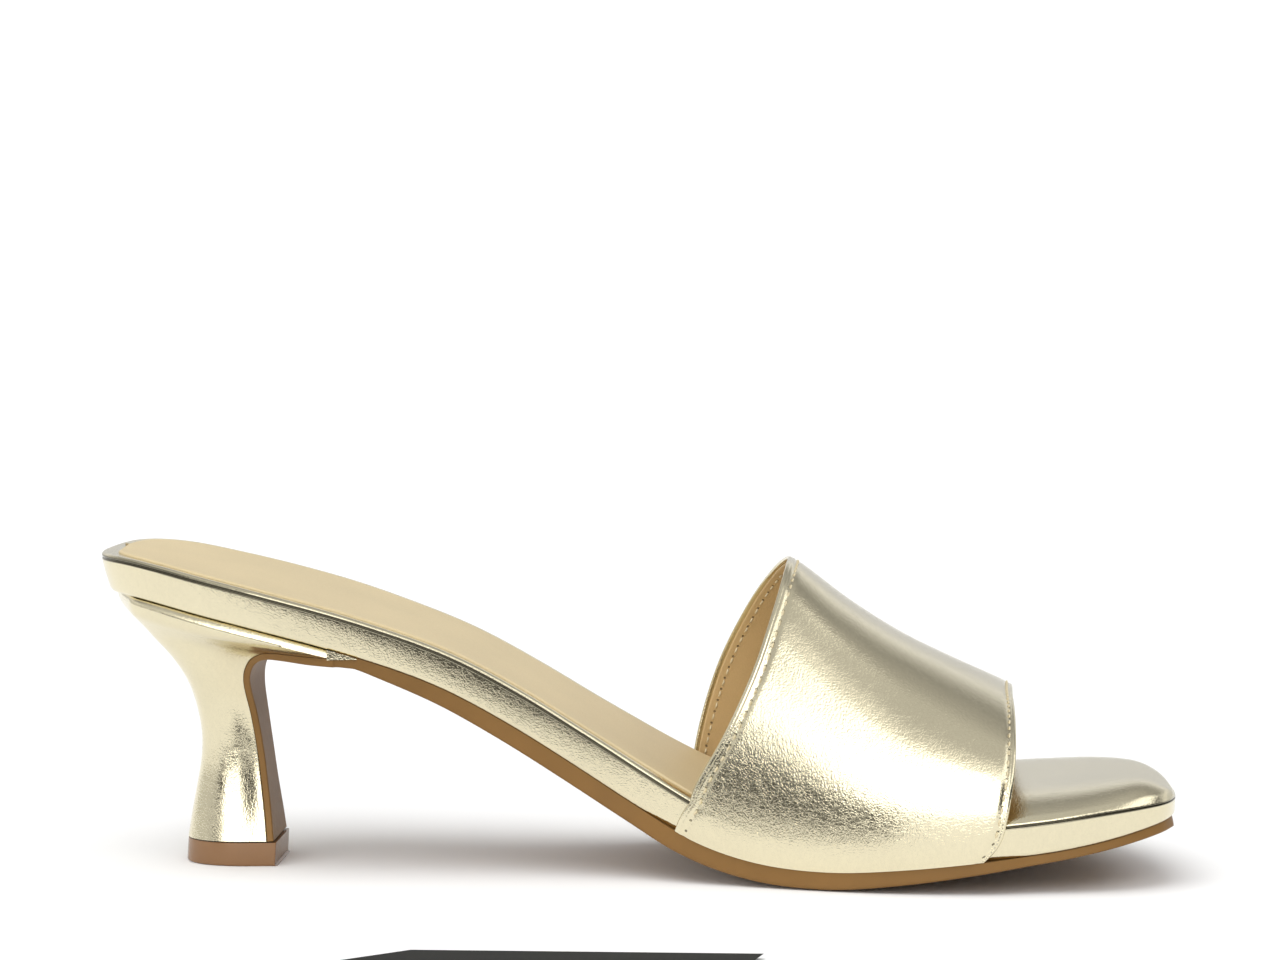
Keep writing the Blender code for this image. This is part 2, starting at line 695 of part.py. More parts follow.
def principled(name, colour, roughness, metallic):
    material = bpy.data.materials.new(name)
    material.use_nodes = True
    shader = material.node_tree.nodes["Principled BSDF"]
    shader.inputs["Base Color"].default_value = (*colour, 1)
    shader.inputs["Roughness"].default_value = roughness
    shader.inputs["Metallic"].default_value = metallic
    return material


def main():
    for old in list(bpy.data.objects):
        bpy.data.objects.remove(old)
    shoe = bpy.data.collections.new("sandal")
    bpy.context.scene.collection.children.link(shoe)
    finish = {name: principled(name, *values) for name, values in MATERIALS.items()}
    for piece in (
        outsole(finish["sole_brown"]),
        footbed(finish["gold_leather"]),
        insock(finish["tan_lining"]),
        heel(finish["gold_leather"]),
        top_lift(finish["lift_brown"]),
        upper_band(finish["gold_leather"]),
    ):
        shoe.objects.link(piece)


main()
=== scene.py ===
"""The looks of the slip-on sandal: gold leather band, wrap and heel, tan lining and sock, brown sole.

Lengths are metres in the CAD's frame: +X to the toe, +Y to the outer side, +Z up, the origin on the floor
under the shoe's middle. Inside the shape functions x runs from the heel back instead. The sizes and tables
from LENGTH to RIDGE repeat the solids' own, so that each surface lies where its solid does.
"""

import bmesh
import bpy
import numpy as np
from mathutils import Matrix, Vector


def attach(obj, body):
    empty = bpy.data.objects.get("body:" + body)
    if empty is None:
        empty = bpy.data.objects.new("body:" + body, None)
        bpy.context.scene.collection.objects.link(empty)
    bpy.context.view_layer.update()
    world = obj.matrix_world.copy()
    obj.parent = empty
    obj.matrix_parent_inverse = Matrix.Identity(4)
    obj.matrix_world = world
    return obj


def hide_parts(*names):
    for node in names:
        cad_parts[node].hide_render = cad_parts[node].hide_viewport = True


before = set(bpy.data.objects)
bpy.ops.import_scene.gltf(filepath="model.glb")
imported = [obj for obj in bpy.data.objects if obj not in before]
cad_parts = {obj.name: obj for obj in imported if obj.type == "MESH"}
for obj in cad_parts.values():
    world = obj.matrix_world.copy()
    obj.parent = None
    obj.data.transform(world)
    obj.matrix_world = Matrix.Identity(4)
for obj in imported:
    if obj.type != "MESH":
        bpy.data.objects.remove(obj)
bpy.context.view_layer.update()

# The whole shoe, in metres
LENGTH = 0.2292  # heel back to toe tip
BALL_WIDTH = 0.0776  # footbed, at its widest
SEAT_RISE = 0.0544  # underside of the footbed at the heel, above the ball
TOE_SPRING = 0.0105  # the same at the toe tip
CLEARANCE = 0.0003  # between pieces that lie on each other

# Footbed
BED_THICKNESS = 0.0076
BED_EDGE = 0.0012  # radius of its upper edge
BED_TUCK = 0.0020  # its side draws in this far under the heel back
BED_CROWN = 0.0034  # at the toe

# Insock
SOCK_INSET = 0.0035
SOCK_THICKNESS = 0.0005
SOCK_SEAT = 0.0004  # its clearance, over a bed that is bent two ways
SOCK_LENGTH = 0.182  # its front end lies under the band

# Outsole
SOLE_THICKNESS = 0.0036  # in the waist
FLAP_THICKNESS = 0.0011  # on the breast of the heel
SOLE_CROWN = 0.0006
STANDING_FLAT = 0.0003  # worn off the crown under the ball

# Upper band
BAND_WALL = 0.0015
BAND_RISE = 0.0615  # ridge at its back edge, above the ball of the footbed

# Heel and top lift
SEAT_STEP = 0.0008  # seat's edge in from the footbed's
NECK_WIDTH = 0.0162
NECK_SETBACK = 0.0181  # neck's back ahead of the seat's back
LIFT_WIDTH = 0.0216
LIFT_HEIGHT = 0.0050
LIFT_FLARE = 0.0003
LIFT_AHEAD = 0.0008  # its front, ahead of the outsole's flap
BREAST_FOOT = 0.0365  # foot of the breast, ahead of the heel back

# Places along the shoe where something changes, as shares of LENGTH
BALL = 0.678  # where the outsole touches the floor
CROWN_ENDS = 0.045  # length in which the footbed's crown fades out at the heel and at the toe
CROWNED_FROM = (0.40, 0.55)  # the outsole's crown grows between these
WALL_ON_SOLE = (0.50, 0.55, 0.825, 0.875)  # the outsole is wide enough for the band's wall between these



def table(columns, *rows):
    """A table with a row for each section, kept as one array for each named column."""
    return {name: np.array(values) for name, values in zip(columns.split(), zip(*rows))}


PLAN = table(
    "along inner outer",
    (0.0005, -0.015, -0.015),
    (0.007, -0.150, 0.140),
    (0.028, -0.240, 0.225),
    (0.065, -0.312, 0.300),
    (0.130, -0.352, 0.343),
    (0.210, -0.357, 0.345),
    (0.310, -0.336, 0.290),
    (0.430, -0.316, 0.282),
    (0.530, -0.337, 0.360),
    (0.630, -0.412, 0.461),
    (0.730, -0.484, 0.496),
    (0.820, -0.500, 0.497),
    (0.900, -0.483, 0.428),
    (0.940, -0.456, 0.305),
    (0.963, -0.418, 0.165),
    (0.982, -0.368, 0.020),
    (0.992, -0.315, -0.120),
    (0.9975, -0.225, -0.225),
)

# How the underside of the footbed rises from the ball: shares of SEAT_RISE and of TOE_SPRING. Tuck
# is the share of BED_TUCK by which its side draws in, thick that of BED_THICKNESS, and crown that of
# BED_CROWN, below nothing where the bed is hollow.
PROFILE = table(
    "along seat toe tuck thick crown",
    (0.000, 1.000, 0.0, 1.00, 1.11, -0.10),
    (0.026, 1.006, 0.0, 0.98, 1.10, -0.10),
    (0.054, 0.992, 0.0, 0.88, 1.08, -0.10),
    (0.103, 0.946, 0.0, 0.75, 1.07, -0.10),
    (0.157, 0.892, 0.0, 0.67, 1.06, -0.10),
    (0.248, 0.789, 0.0, 0.60, 1.03, -0.10),
    (0.330, 0.663, 0.0, 0.50, 1.00, -0.10),
    (0.391, 0.523, 0.0, 0.45, 1.00, -0.10),
    (0.457, 0.349, 0.0, 0.38, 1.00, -0.08),
    (0.513, 0.200, 0.0, 0.35, 1.03, 0.00),
    (0.565, 0.084, 0.0, 0.32, 1.03, 0.14),
    (0.613, 0.025, 0.0, 0.30, 1.02, 0.35),
    (0.678, 0.000, 0.0, 0.30, 1.00, 0.65),
    (0.752, 0.000, 0.10, 0.30, 1.00, 0.92),
    (0.822, 0.000, 0.27, 0.30, 1.00, 1.18),
    (0.896, 0.000, 0.48, 0.30, 0.96, 1.08),
    (0.930, 0.000, 0.63, 0.28, 0.89, 1.04),
    (0.965, 0.000, 0.81, 0.20, 0.72, 1.15),
    (1.000, 0.000, 1.00, 0.10, 0.48, 1.20),
)

# Thickness of the outsole, a share of the way from FLAP_THICKNESS to SOLE_THICKNESS
SOLE = table(
    "along full",
    (0.235, 0.25),
    (0.290, 0.70),
    (0.350, 0.91),
    (0.510, 1.00),
    (0.575, 1.00),
    (0.680, 0.95),
    (0.790, 0.60),
    (0.850, 0.34),
    (1.000, 0.25),
)

# The outsole's upper face where it has left the footbed: ahead of the breast's foot, as a share of
# LENGTH, and up from the top lift, as a share of the height where it leaves
BREAST = table(
    "ahead height",
    (0.0000, 0.000),
    (-0.0022, 0.120),
    (-0.0060, 0.290),
    (-0.0100, 0.470),
    (-0.0152, 0.660),
    (-0.0190, 0.780),
    (-0.0195, 0.855),
    (-0.0165, 0.915),
    (-0.0100, 0.965),
    (0.0010, 0.994),
    (0.0170, 1.000),
    (0.0500, 0.996),
)
LEAVE = 0.252  # where the outsole leaves the footbed
WING = 0.230  # tips of the heel's two wings

# Rings of the heel: run is the place of their front on the breast, from the wings down; height that
# of their back, from the top lift up; back their way from the seat's back to the neck's. Their width
# is mixed from the seat's, the top lift's and, for the rest, the neck's.
HEEL = table(
    "run height back seat lift",
    (0.00, 1.000, 0.00, 1.00, 0.0),
    (0.09, 0.950, 0.04, 0.88, 0.0),
    (0.20, 0.895, 0.195, 0.68, 0.0),
    (0.31, 0.825, 0.390, 0.44, 0.0),
    (0.41, 0.740, 0.63, 0.23, 0.0),
    (0.50, 0.640, 0.825, 0.08, 0.0),
    (0.59, 0.535, 0.94, 0.02, 0.0),
    (0.68, 0.420, 1.00, 0.00, 0.0),
    (0.77, 0.310, 0.99, 0.00, 0.1),
    (0.86, 0.195, 0.93, 0.00, 0.36),
    (0.94, 0.085, 0.87, 0.00, 0.72),
    (1.00, 0.000, 0.83, 0.00, 1.0),
)
NECK_CORNER = 0.86  # width of the breast at the neck, as a share of the ring's
LIFT_CORNER = 0.94  # the same at the top lift
HEEL_CENTRE = -0.015  # its middle across the shoe
SEAT_ROUND = 0.12  # share of the seat's length in which it widens from its back
SHAFT_ROUND = 0.62  # the same for the shaft
SHAFT_POWER = 2.2  # how square the shaft's back is
FLAP_FULL = (0.75, 1.05)  # the outsole thickens between these shares of the way from foot to wings

# The band's edges, from the bottom of its inner side (0) over the foot to that of its outer side (1)
EDGES = table(
    "around back front",
    (0.00, 0.542, 0.827),
    (0.02, 0.546, 0.839),
    (0.05, 0.554, 0.845),
    (0.12, 0.586, 0.851),
    (0.20, 0.612, 0.854),
    (0.30, 0.630, 0.854),
    (0.40, 0.639, 0.852),
    (0.48, 0.641, 0.849),
    (0.56, 0.638, 0.847),
    (0.66, 0.620, 0.846),
    (0.76, 0.592, 0.845),
    (0.86, 0.561, 0.841),
    (0.95, 0.539, 0.835),
    (1.00, 0.529, 0.827),
)

# The band's cross sections: ridge as a share of BAND_RISE, its place across, and how square they are
RIDGE = table(
    "along rise side square",
    (0.520, 1.240, -0.060, 2.30),
    (0.590, 1.105, -0.055, 2.35),
    (0.643, 0.998, -0.050, 2.40),
    (0.696, 0.847, -0.045, 2.45),
    (0.745, 0.731, -0.040, 2.40),
    (0.790, 0.646, -0.030, 2.40),
    (0.835, 0.568, -0.020, 2.40),
    (0.870, 0.505, -0.015, 2.40),
)
BAND_FOOT = 0.055  # share of the way around that lies on each side of the footbed
BAND_SPRING = 0.9  # height on the footbed's side, as a share of its thickness, where the band turns over


# Steps of the fine surfaces
PLAN_STEPS = 12  # between two rows of the plan
EASE = 25  # steps of 1/2000 of a table over which its curve is eased
EASED = {}


def cubic(places, values, at):
    """Cubics through a table's values, whose slopes at the rows are weighted means of the spans'."""
    at = np.clip(at, places[0], places[-1])
    step = np.diff(places)
    rise = np.diff(values) / step
    slope = np.empty(len(places))
    slope[1:-1] = (step[1:] * rise[:-1] + step[:-1] * rise[1:]) / (step[1:] + step[:-1])
    slope[0] = 1.5 * rise[0] - 0.5 * slope[1]
    slope[-1] = 1.5 * rise[-1] - 0.5 * slope[-2]
    row = np.clip(np.searchsorted(places, at) - 1, 0, len(step) - 1)
    t = (at - places[row]) / step[row]
    return (
        values[row] * (1 + 2 * t) * (1 - t) ** 2
        + values[row + 1] * (3 - 2 * t) * t**2
        + step[row] * (slope[row] * t * (1 - t) ** 2 - slope[row + 1] * t**2 * (1 - t))
    )


def softened(values, width, closed=False):
    """Values on even steps, each the mean of its neighbours under a bell of the given width in steps."""
    reach = int(3 * width)
    bell = np.exp(-0.5 * (np.arange(-reach, reach + 1) / width) ** 2)
    bell /= bell.sum()
    if closed:
        wide = np.concatenate([values[-reach:], values, values[:reach]])
    else:
        start = 2 * values[0] - values[reach:0:-1]
        end = 2 * values[-1] - values[-2 : -reach - 2 : -1]
        wide = np.concatenate([start, values, end])
    return np.convolve(wide, bell, mode="valid")


def read(rows, column, at, by="along"):
    """A table's column at any places: its cubics, eased so that reflections run smoothly over the rows."""
    key = (id(rows), column)
    if key not in EASED:
        places = np.linspace(rows[by][0], rows[by][-1], 2001)
        EASED[key] = (places, softened(cubic(rows[by], rows[column], places), EASE))
    return np.interp(at, *EASED[key])


def through(points, per_span, closed=False):
    """A smooth curve through points in a plane, with equal steps in each span."""
    points = np.asarray(points)
    wide = np.concatenate([points[-3:], points, points[:4]]) if closed else points
    places = np.concatenate([[0], np.cumsum(np.sqrt(np.linalg.norm(np.diff(wide, axis=0), axis=1)))])
    steps = np.interp(np.arange((len(wide) - 1) * per_span + 1) / per_span, np.arange(len(wide)), places)
    curve = np.stack([cubic(places, wide[:, axis], steps) for axis in (0, 1)], axis=1)
    return curve[3 * per_span : -4 * per_span] if closed else curve


def inwards(loop):
    """Unit normals of a closed outline that runs along the inner side first, pointing to its inside."""
    along = np.roll(loop, -1, axis=0) - np.roll(loop, 1, axis=0)
    along /= np.linalg.norm(along, axis=1, keepdims=True)
    return np.stack([-along[:, 1], along[:, 0]], axis=1)


def plan_loop():
    """Outline of the footbed seen from above, from the heel back along the inner side."""
    inner = np.stack([PLAN["along"] * LENGTH, PLAN["inner"] * BALL_WIDTH], axis=1)
    outer = np.stack([PLAN["along"] * LENGTH, PLAN["outer"] * BALL_WIDTH], axis=1)
    loop = through(np.concatenate([inner, outer[-2:0:-1]]), PLAN_STEPS, closed=True)
    return np.stack([softened(loop[:, axis], PLAN_STEPS / 3, closed=True) for axis in (0, 1)], axis=1)


LOOP = plan_loop()
LOOP_IN = inwards(LOOP)
HALF = len(LOOP) // 2  # index of the toe tip


def side(x, which):
    """Where the footbed's edge lies across the shoe at x: which is -1 for the inner side, 1 for the outer."""
    inner = np.array(LOOP[: HALF + 1])
    outer = np.concatenate([LOOP[:1], LOOP[: HALF - 1 : -1]])
    low = np.interp(x, inner[:, 0], inner[:, 1])
    high = np.interp(x, outer[:, 0], outer[:, 1])
    return np.where(np.asarray(which) < 0, low, high)


def tuck(x):
    return BED_TUCK * read(PROFILE, "tuck", x / LENGTH)


def sole_depth(x):
    """Thickness of the outsole across its face."""
    return FLAP_THICKNESS + (SOLE_THICKNESS - FLAP_THICKNESS) * read(SOLE, "full", x / LENGTH)


BALL_LEVEL = float(sole_depth(BALL * LENGTH)) + SOLE_CROWN + CLEARANCE - STANDING_FLAT


def bed_under(x):
    """Height of the footbed's underside."""
    seat = SEAT_RISE * read(PROFILE, "seat", x / LENGTH)
    return BALL_LEVEL + seat + TOE_SPRING * read(PROFILE, "toe", x / LENGTH)


def stretch(x):
    """Upright thickness over thickness, where the footbed slopes."""
    slope = (bed_under(x + 1e-3) - bed_under(x - 1e-3)) / 2e-3
    return np.sqrt(1 + slope**2)


def crown(x, y):
    """The footbed's crown: full height times 1 - across^6, fading out at the heel back and the toe tip."""
    low, high = side(x, -1), side(x, 1)
    across = (2 * y - low - high) / np.maximum(high - low, 1e-4)
    fade = CROWN_ENDS * LENGTH
    ends = np.clip(x / fade, 0, 1) * np.clip((LENGTH - x) / fade, 0, 1)
    full = BED_CROWN * read(PROFILE, "crown", x / LENGTH)
    return full * np.clip(1 - across**6, 0, 1) * ends * (2 - ends)


def bed_depth(x):
    """Upright thickness of the footbed."""
    return BED_THICKNESS * read(PROFILE, "thick", x / LENGTH) * stretch(x)


def bed_top(x, y):
    return bed_under(x) + bed_depth(x) + crown(x, y)


def grid_piece(name, grid, material, node, uv=None):
    """A closed skin over a grid of points: rows follow each other and each row's columns close on themselves.

    Points that fall together make its poles and seams, and are merged. uv holds the map "rows"."""
    rows, columns = grid.shape[:2]
    index = np.arange(rows * columns).reshape(rows, columns)
    index = np.concatenate([index, index[:, :1]], axis=1)
    quads = np.stack([index[:-1, :-1], index[:-1, 1:], index[1:, 1:], index[1:, :-1]], axis=-1).reshape(-1, 4)
    mesh = bpy.data.meshes.new(name)
    place = grid.reshape(-1, 3) - np.array([LENGTH / 2, 0, 0])
    mesh.from_pydata(place.tolist(), [], quads.tolist())
    if uv is not None:
        layer = mesh.uv_layers.new(name="rows")
        layer.data.foreach_set("uv", uv.reshape(-1, 2)[quads.ravel()].astype(np.float32).ravel())
    return finished(name, mesh, material, node)


SHARP = np.radians(52)  # edges that turn more than this stay crisp


def finished(name, mesh, material, node):
    """Merges doubles, turns the faces outwards, smooths, and puts the piece in place of its solid."""
    body = bmesh.new()
    body.from_mesh(mesh)
    bmesh.ops.remove_doubles(body, verts=body.verts, dist=2e-6)
    bmesh.ops.dissolve_degenerate(body, edges=body.edges, dist=1e-7)
    bmesh.ops.recalc_face_normals(body, faces=body.faces)
    body.to_mesh(mesh)
    body.free()
    mesh.shade_smooth()
    mesh.set_sharp_from_angle(angle=SHARP)
    piece = bpy.data.objects.new(name, mesh)
    bpy.context.scene.collection.objects.link(piece)
    mesh.materials.append(material)
    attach(piece, "root")
    if node:
        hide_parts(node)
    return piece


def capped(plan, surface, shares):
    """Rows over a closed outline: each point moves by a share to the middle of its rib, on the surface.

    A rib joins a point to the one as far round the other way, and its middle closes the cap."""
    mirror = -np.arange(len(plan)) % len(plan)
    middle = (plan + plan[mirror]) / 2
    ways = plan + (middle - plan) * shares[:, None, None]
    return np.concatenate([ways, surface(ways[..., 0], ways[..., 1])[..., None]], axis=-1)


# A crease runs along the side, just under its upper edge: its level, its half width and its depth
CREASE_LEVEL = 0.865
CREASE_WIDTH = 0.024
CREASE_DIP = 0.00028
# Painted shade: along the crease the gold is coloured darker, in place of the shade that falls in the groove
CREASE_SHADE_REACH = 0.00048  # the leather is darker this far from the crease's middle
FAR_OFF = 50.0  # the crease map where no crease is
CAP_SHARES = np.sin(np.linspace(0, 1, 22) * np.pi / 2)[1:] ** 1.6  # ways in to the middle, close at the edge


def footbed_wrap(material):
    """Gold leather round the insole board: rings from the underside's edge up a tucked side and over.

    The side draws in below by the tuck times (1 - level)^1.6, and both its edges are quarter ellipses."""
    turn = np.linspace(0, np.pi / 2, 8)
    lower = np.column_stack([0.12 * (1 - np.cos(turn)), 0.5 * (1 - np.sin(turn))])
    levels = np.concatenate([np.linspace(0.12, 0.79, 9)[1:], np.linspace(0.805, 0.905, 14)])
    middle = np.column_stack([levels, np.zeros(len(levels))])
    upper = np.column_stack([0.91 + 0.09 * np.sin(turn), 1 - np.cos(turn)])
    rings, heights = [], []
    for level, rounded in np.concatenate([lower, middle, upper]):
        drawn = max(1 - level / 0.91, 0) ** 1.3
        trough = CREASE_DIP * np.exp(-(((level - CREASE_LEVEL) / CREASE_WIDTH) ** 2))
        inset = drawn * tuck(LOOP[:, 0]) + rounded * BED_EDGE + trough
        heights.append((level - CREASE_LEVEL) * bed_depth(LOOP[:, 0]) / CREASE_SHADE_REACH)
        plan = LOOP + LOOP_IN * inset[:, None]
        x = plan[:, 0]
        lift = crown(x, plan[:, 1]) * max(level - 0.91, 0) / 0.09
        rings.append(np.column_stack([plan, bed_under(x) + level * bed_depth(x) + lift]))
    under = capped(rings[0][:, :2], lambda x, y: bed_under(x), CAP_SHARES)[::-1]
    over = capped(rings[-1][:, :2], bed_top, CAP_SHARES)
    grid = np.concatenate([under, np.array(rings), over])
    # The map "rows" gives each ring's distance from the crease; the material darkens the colour along it as
    # painted shade
    crease = np.full(grid.shape[:2], FAR_OFF)
    crease[len(under) : len(under) + len(rings)] = heights
    uv = np.stack([np.zeros_like(crease), crease], axis=-1)
    uv = np.concatenate([uv, uv[:, :1]], axis=1)
    return grid_piece("footbed_wrap", grid, material, "footbed", uv=uv)


def sock_loop():
    """Outline of the insock: the footbed's, drawn in, and cut straight across under the band."""
    edge = LOOP + LOOP_IN * SOCK_INSET
    inner = edge[: HALF + 1]
    outer = np.concatenate([edge[:1], edge[: HALF - 1 : -1]])
    x = np.append(inner[1:, 0][inner[1:, 0] < SOCK_LENGTH], SOCK_LENGTH)
    low = np.interp(x, inner[:, 0], inner[:, 1])
    high = np.interp(x, outer[:, 0], outer[:, 1])
    front = [[SOCK_LENGTH, (low[-1] + high[-1]) / 2]]
    return np.concatenate([edge[:1], np.column_stack([x, low]), front, np.column_stack([x, high])[::-1]])


SOCK_SHOWN = 0.0005  # height of its top over the footbed
SOCK_BEDDED = 0.0001  # depth of its underside in the leather


def insock(material):
    """Tan sock: rings up its cut edge, rounded over a radius of its thickness, and a cap on the bed."""
    loop = sock_loop()
    into = inwards(loop)
    rings = []
    for turn in np.linspace(0, np.pi / 2, 6):
        plan = loop + into * (1 - np.cos(turn)) * SOCK_THICKNESS
        low = SOCK_SHOWN * np.sin(turn)
        rings.append(np.column_stack([plan, bed_top(plan[:, 0], plan[:, 1]) + low]))
    under = capped(loop, lambda x, y: bed_top(x, y) - SOCK_BEDDED, np.append(0.0, CAP_SHARES))[::-1]
    over = capped(rings[-1][:, :2], lambda x, y: bed_top(x, y) + SOCK_SHOWN, CAP_SHARES)
    grid = np.concatenate([under, np.array(rings), over])
    return grid_piece("insock_leather", grid, material, "insock")


def sole_path():
    """The outsole's upper face in the middle of the shoe, from the foot of the breast to the toe tip."""
    leave = LEAVE * LENGTH
    ahead = np.linspace(leave, LENGTH, 400)
    forepart = np.stack([ahead, bed_under(ahead) - CLEARANCE], axis=1)
    drop = forepart[0, 1] - LIFT_HEIGHT - CLEARANCE
    breast = np.stack(
        [BREAST_FOOT + BREAST["ahead"] * LENGTH, LIFT_HEIGHT + CLEARANCE + BREAST["height"] * drop],
        axis=1,
    )
    back = through(np.concatenate([breast, forepart[:1]]), 24)
    path = np.concatenate([back, forepart[1:]])
    reach = np.concatenate([[0], np.cumsum(np.linalg.norm(np.diff(path, axis=0), axis=1))])
    even = np.linspace(0, reach[-1], 1600)
    path = np.stack([softened(np.interp(even, reach, path[:, k]), 6) for k in (0, 1)], axis=1)
    normal = np.gradient(path, even, axis=0)
    normal = np.stack([-normal[:, 1], normal[:, 0]], axis=1)
    normal /= np.linalg.norm(normal, axis=1, keepdims=True)
    return path, even, normal


PATH, REACH, NORMAL = sole_path()
LEAVE_ROW = int(np.argmax((PATH[:, 0] >= LEAVE * LENGTH) & (REACH > 0.5 * LEAVE * LENGTH)))
NEAR_WING = slice(LEAVE_ROW // 2, LEAVE_ROW + 1)
WING_REACH = float(np.interp(WING * LENGTH, PATH[NEAR_WING, 0], REACH[NEAR_WING]))


def on_path(reach, lift):
    """The point of the path at a reach from the breast's foot, lifted across the face."""
    place = np.stack([np.interp(reach, REACH, PATH[:, k]) for k in (0, 1)], axis=-1)
    across = np.stack([np.interp(reach, REACH, NORMAL[:, k]) for k in (0, 1)], axis=-1)
    return place + across * np.asarray(lift)[..., None]


def seat_back():
    """The seat's back, where the heel starts under the footbed."""
    return PLAN["along"][0] * LENGTH + tuck(0.0) + SEAT_STEP


def seat_side(share, which):
    """The heel's side under the footbed, as a width from its middle: share runs from back to wings."""
    x = seat_back() + share * (WING * LENGTH - seat_back())
    whole = (side(x, which) - HEEL_CENTRE * BALL_WIDTH) * which
    start = (side(seat_back(), which) - HEEL_CENTRE * BALL_WIDTH) * which
    eased = np.clip(share / SEAT_ROUND, 0, 1)
    inset = tuck(x) + SEAT_STEP * (1 - share)
    return np.maximum(whole - inset - (1 - eased) * np.maximum(start - inset, 0), 0)


def heel_side(share, run, which):
    """Width of the heel from its middle, on a ring whose front lies at a run down the breast."""
    seat = np.clip(read(HEEL, "seat", run, "run"), 0, 1)
    lift = np.clip(read(HEEL, "lift", run, "run"), 0, 1)
    shaft = (NECK_WIDTH + lift * (LIFT_WIDTH - 2 * LIFT_FLARE - NECK_WIDTH)) / 2
    round_back = (1 - (1 - np.clip(share / SHAFT_ROUND, 0, 1)) ** SHAFT_POWER) ** (1 / SHAFT_POWER)
    ease = np.clip((share - SHAFT_ROUND) / (1 - SHAFT_ROUND), 0, 1)
    corner = NECK_CORNER + lift * (LIFT_CORNER - NECK_CORNER)
    nip = 1 - (1 - corner) * ease**2 * (3 - 2 * ease)
    return seat * seat_side(share, which) + (1 - seat) * shaft * round_back * nip


def heel_rows(run, share):
    """Rings of the heel at an array of runs: straight lines from the back to the breast, seen from the side.

    Each ring goes from the inner corner of the breast round the back to the outer one."""
    run, share = np.asarray(run)[:, None], np.asarray(share)[None, :]
    top = bed_under(seat_back()) - CLEARANCE
    low = LIFT_HEIGHT + CLEARANCE
    back_x = seat_back() + read(HEEL, "back", run, "run") * NECK_SETBACK
    back_z = low + np.clip(read(HEEL, "height", run, "run"), 0, 1) * (top - low)
    front = on_path(WING_REACH * (1 - run), np.full(run.shape, CLEARANCE))
    x = back_x + share * (front[..., 0] - back_x)
    z = back_z + share * (front[..., 1] - back_z)
    centre = HEEL_CENTRE * BALL_WIDTH
    inner = np.stack([x, centre - heel_side(share, run, -1), z], axis=-1)
    outer = np.stack([x, centre + heel_side(share, run, 1), z], axis=-1)
    return np.concatenate([inner[:, ::-1], outer[:, 1:]], axis=1)


RING_CORNER = 0.0003  # radius of the corners at the breast
CORNER_STEPS = 7
FRONT_STEPS = 9


def with_front(rows):
    """Closes rings across the breast, with a curve of three controls round each of its two corners."""

    def corner(point, beside, far):
        to_far = (far - point) / np.linalg.norm(far - point, axis=-1, keepdims=True)
        to_side = (beside - point) / np.linalg.norm(beside - point, axis=-1, keepdims=True)
        t = np.linspace(0, 1, CORNER_STEPS)[:, None]
        start = (point + to_far * RING_CORNER)[:, None]
        end = (point + to_side * RING_CORNER)[:, None]
        return (1 - t) ** 2 * start + 2 * t * (1 - t) * point[:, None] + t**2 * end

    inner, outer = rows[:, 0], rows[:, -1]
    inner_corner = corner(inner, rows[:, 1], outer)
    outer_corner = corner(outer, rows[:, -2], inner)[:, ::-1]
    t = np.linspace(0, 1, FRONT_STEPS)[1:-1, None]
    front = outer_corner[:, -1:] * (1 - t) + inner_corner[:, :1] * t
    return np.concatenate([inner_corner, rows[:, 1:-1], outer_corner, front], axis=1)


def middle_row(row):
    """A closed ring drawn together to its middle line: each point meets its partner from the other side."""
    around = len(row) - (FRONT_STEPS - 2)
    partner = np.concatenate([np.arange(around)[::-1], np.arange(around, len(row))[::-1]])
    return (row + row[partner]) / 2


HEEL_BEAD = 0.0011  # radius of the heel's upper edge, under the footbed


def heel_cover(material):
    """Gold leather round the heel: the rings, a rounded upper edge under the footbed, and both ends.

    The edge is a quarter ellipse from the seat's outline, drawn in by the radius, to the first ring."""
    share = 1 - np.cos(np.linspace(0, 1, 40) * np.pi / 2)
    run = np.linspace(0.012, 1, 110)
    rows = with_front(heel_rows(run, share))
    first = rows[0]
    seat = first.copy()
    centre = HEEL_CENTRE * BALL_WIDTH
    half = np.abs(first[:, 1] - centre)
    seat[:, 1] = centre + (first[:, 1] - centre) * np.maximum(1 - HEEL_BEAD / np.maximum(half, 1e-3), 0.0)
    seat[:, 0] += HEEL_BEAD * (1 - np.clip(half / 0.02, 0, 1))
    seat[:, 2] = bed_under(seat[:, 0]) - CLEARANCE
    turn = np.linspace(0, np.pi / 2, 8)[:-1, None, None]
    edge = seat + (first - seat) * np.sin(turn)
    edge[..., 2] = (seat[:, 2] + (first[:, 2] - seat[:, 2]) * (1 - np.cos(turn[..., 0])))
    foot = rows[-1]
    grid = np.concatenate([middle_row(seat)[None], edge, rows, middle_row(foot)[None]])
    return grid_piece("heel_cover", grid, material, "heel")


TIP_START = 0.0012  # the wing tips start this far behind the solid wings' ends
TIP_STEPS = 16
TIP_DEPTH = 0.0020


def wing_tips(material):
    """The heel's wings run out to fine tips between the sole and the footbed: slivers down to no height.

    Each section is a box from the outsole's upper face to the footbed's underside, on the heel's side line."""
    x = np.linspace(WING * LENGTH - TIP_START, LEAVE * LENGTH, TIP_STEPS)
    low = np.interp(x, PATH[NEAR_WING, 0], PATH[NEAR_WING, 1])
    top = np.maximum(bed_under(x) - CLEARANCE / 2, low + 1e-5)
    for name, which in (("wing_tip_inner", -1), ("wing_tip_outer", 1)):
        out = side(x, which) - which * tuck(x)
        into = out - which * TIP_DEPTH
        ring = [np.column_stack([x, y, z]) for y, z in ((out, low), (out, (low + top) / 2), (out, top),
                                                        (into, top), (into, low))]
        grid = np.stack(ring, axis=1)
        ends = [np.broadcast_to(row.mean(axis=0), row.shape)[None] for row in (grid[0], grid[-1])]
        grid_piece(name, np.concatenate([ends[0], grid, ends[1]]), material, None)


LIFT_EDGE = 0.0005  # radius of the top lift's lower edge


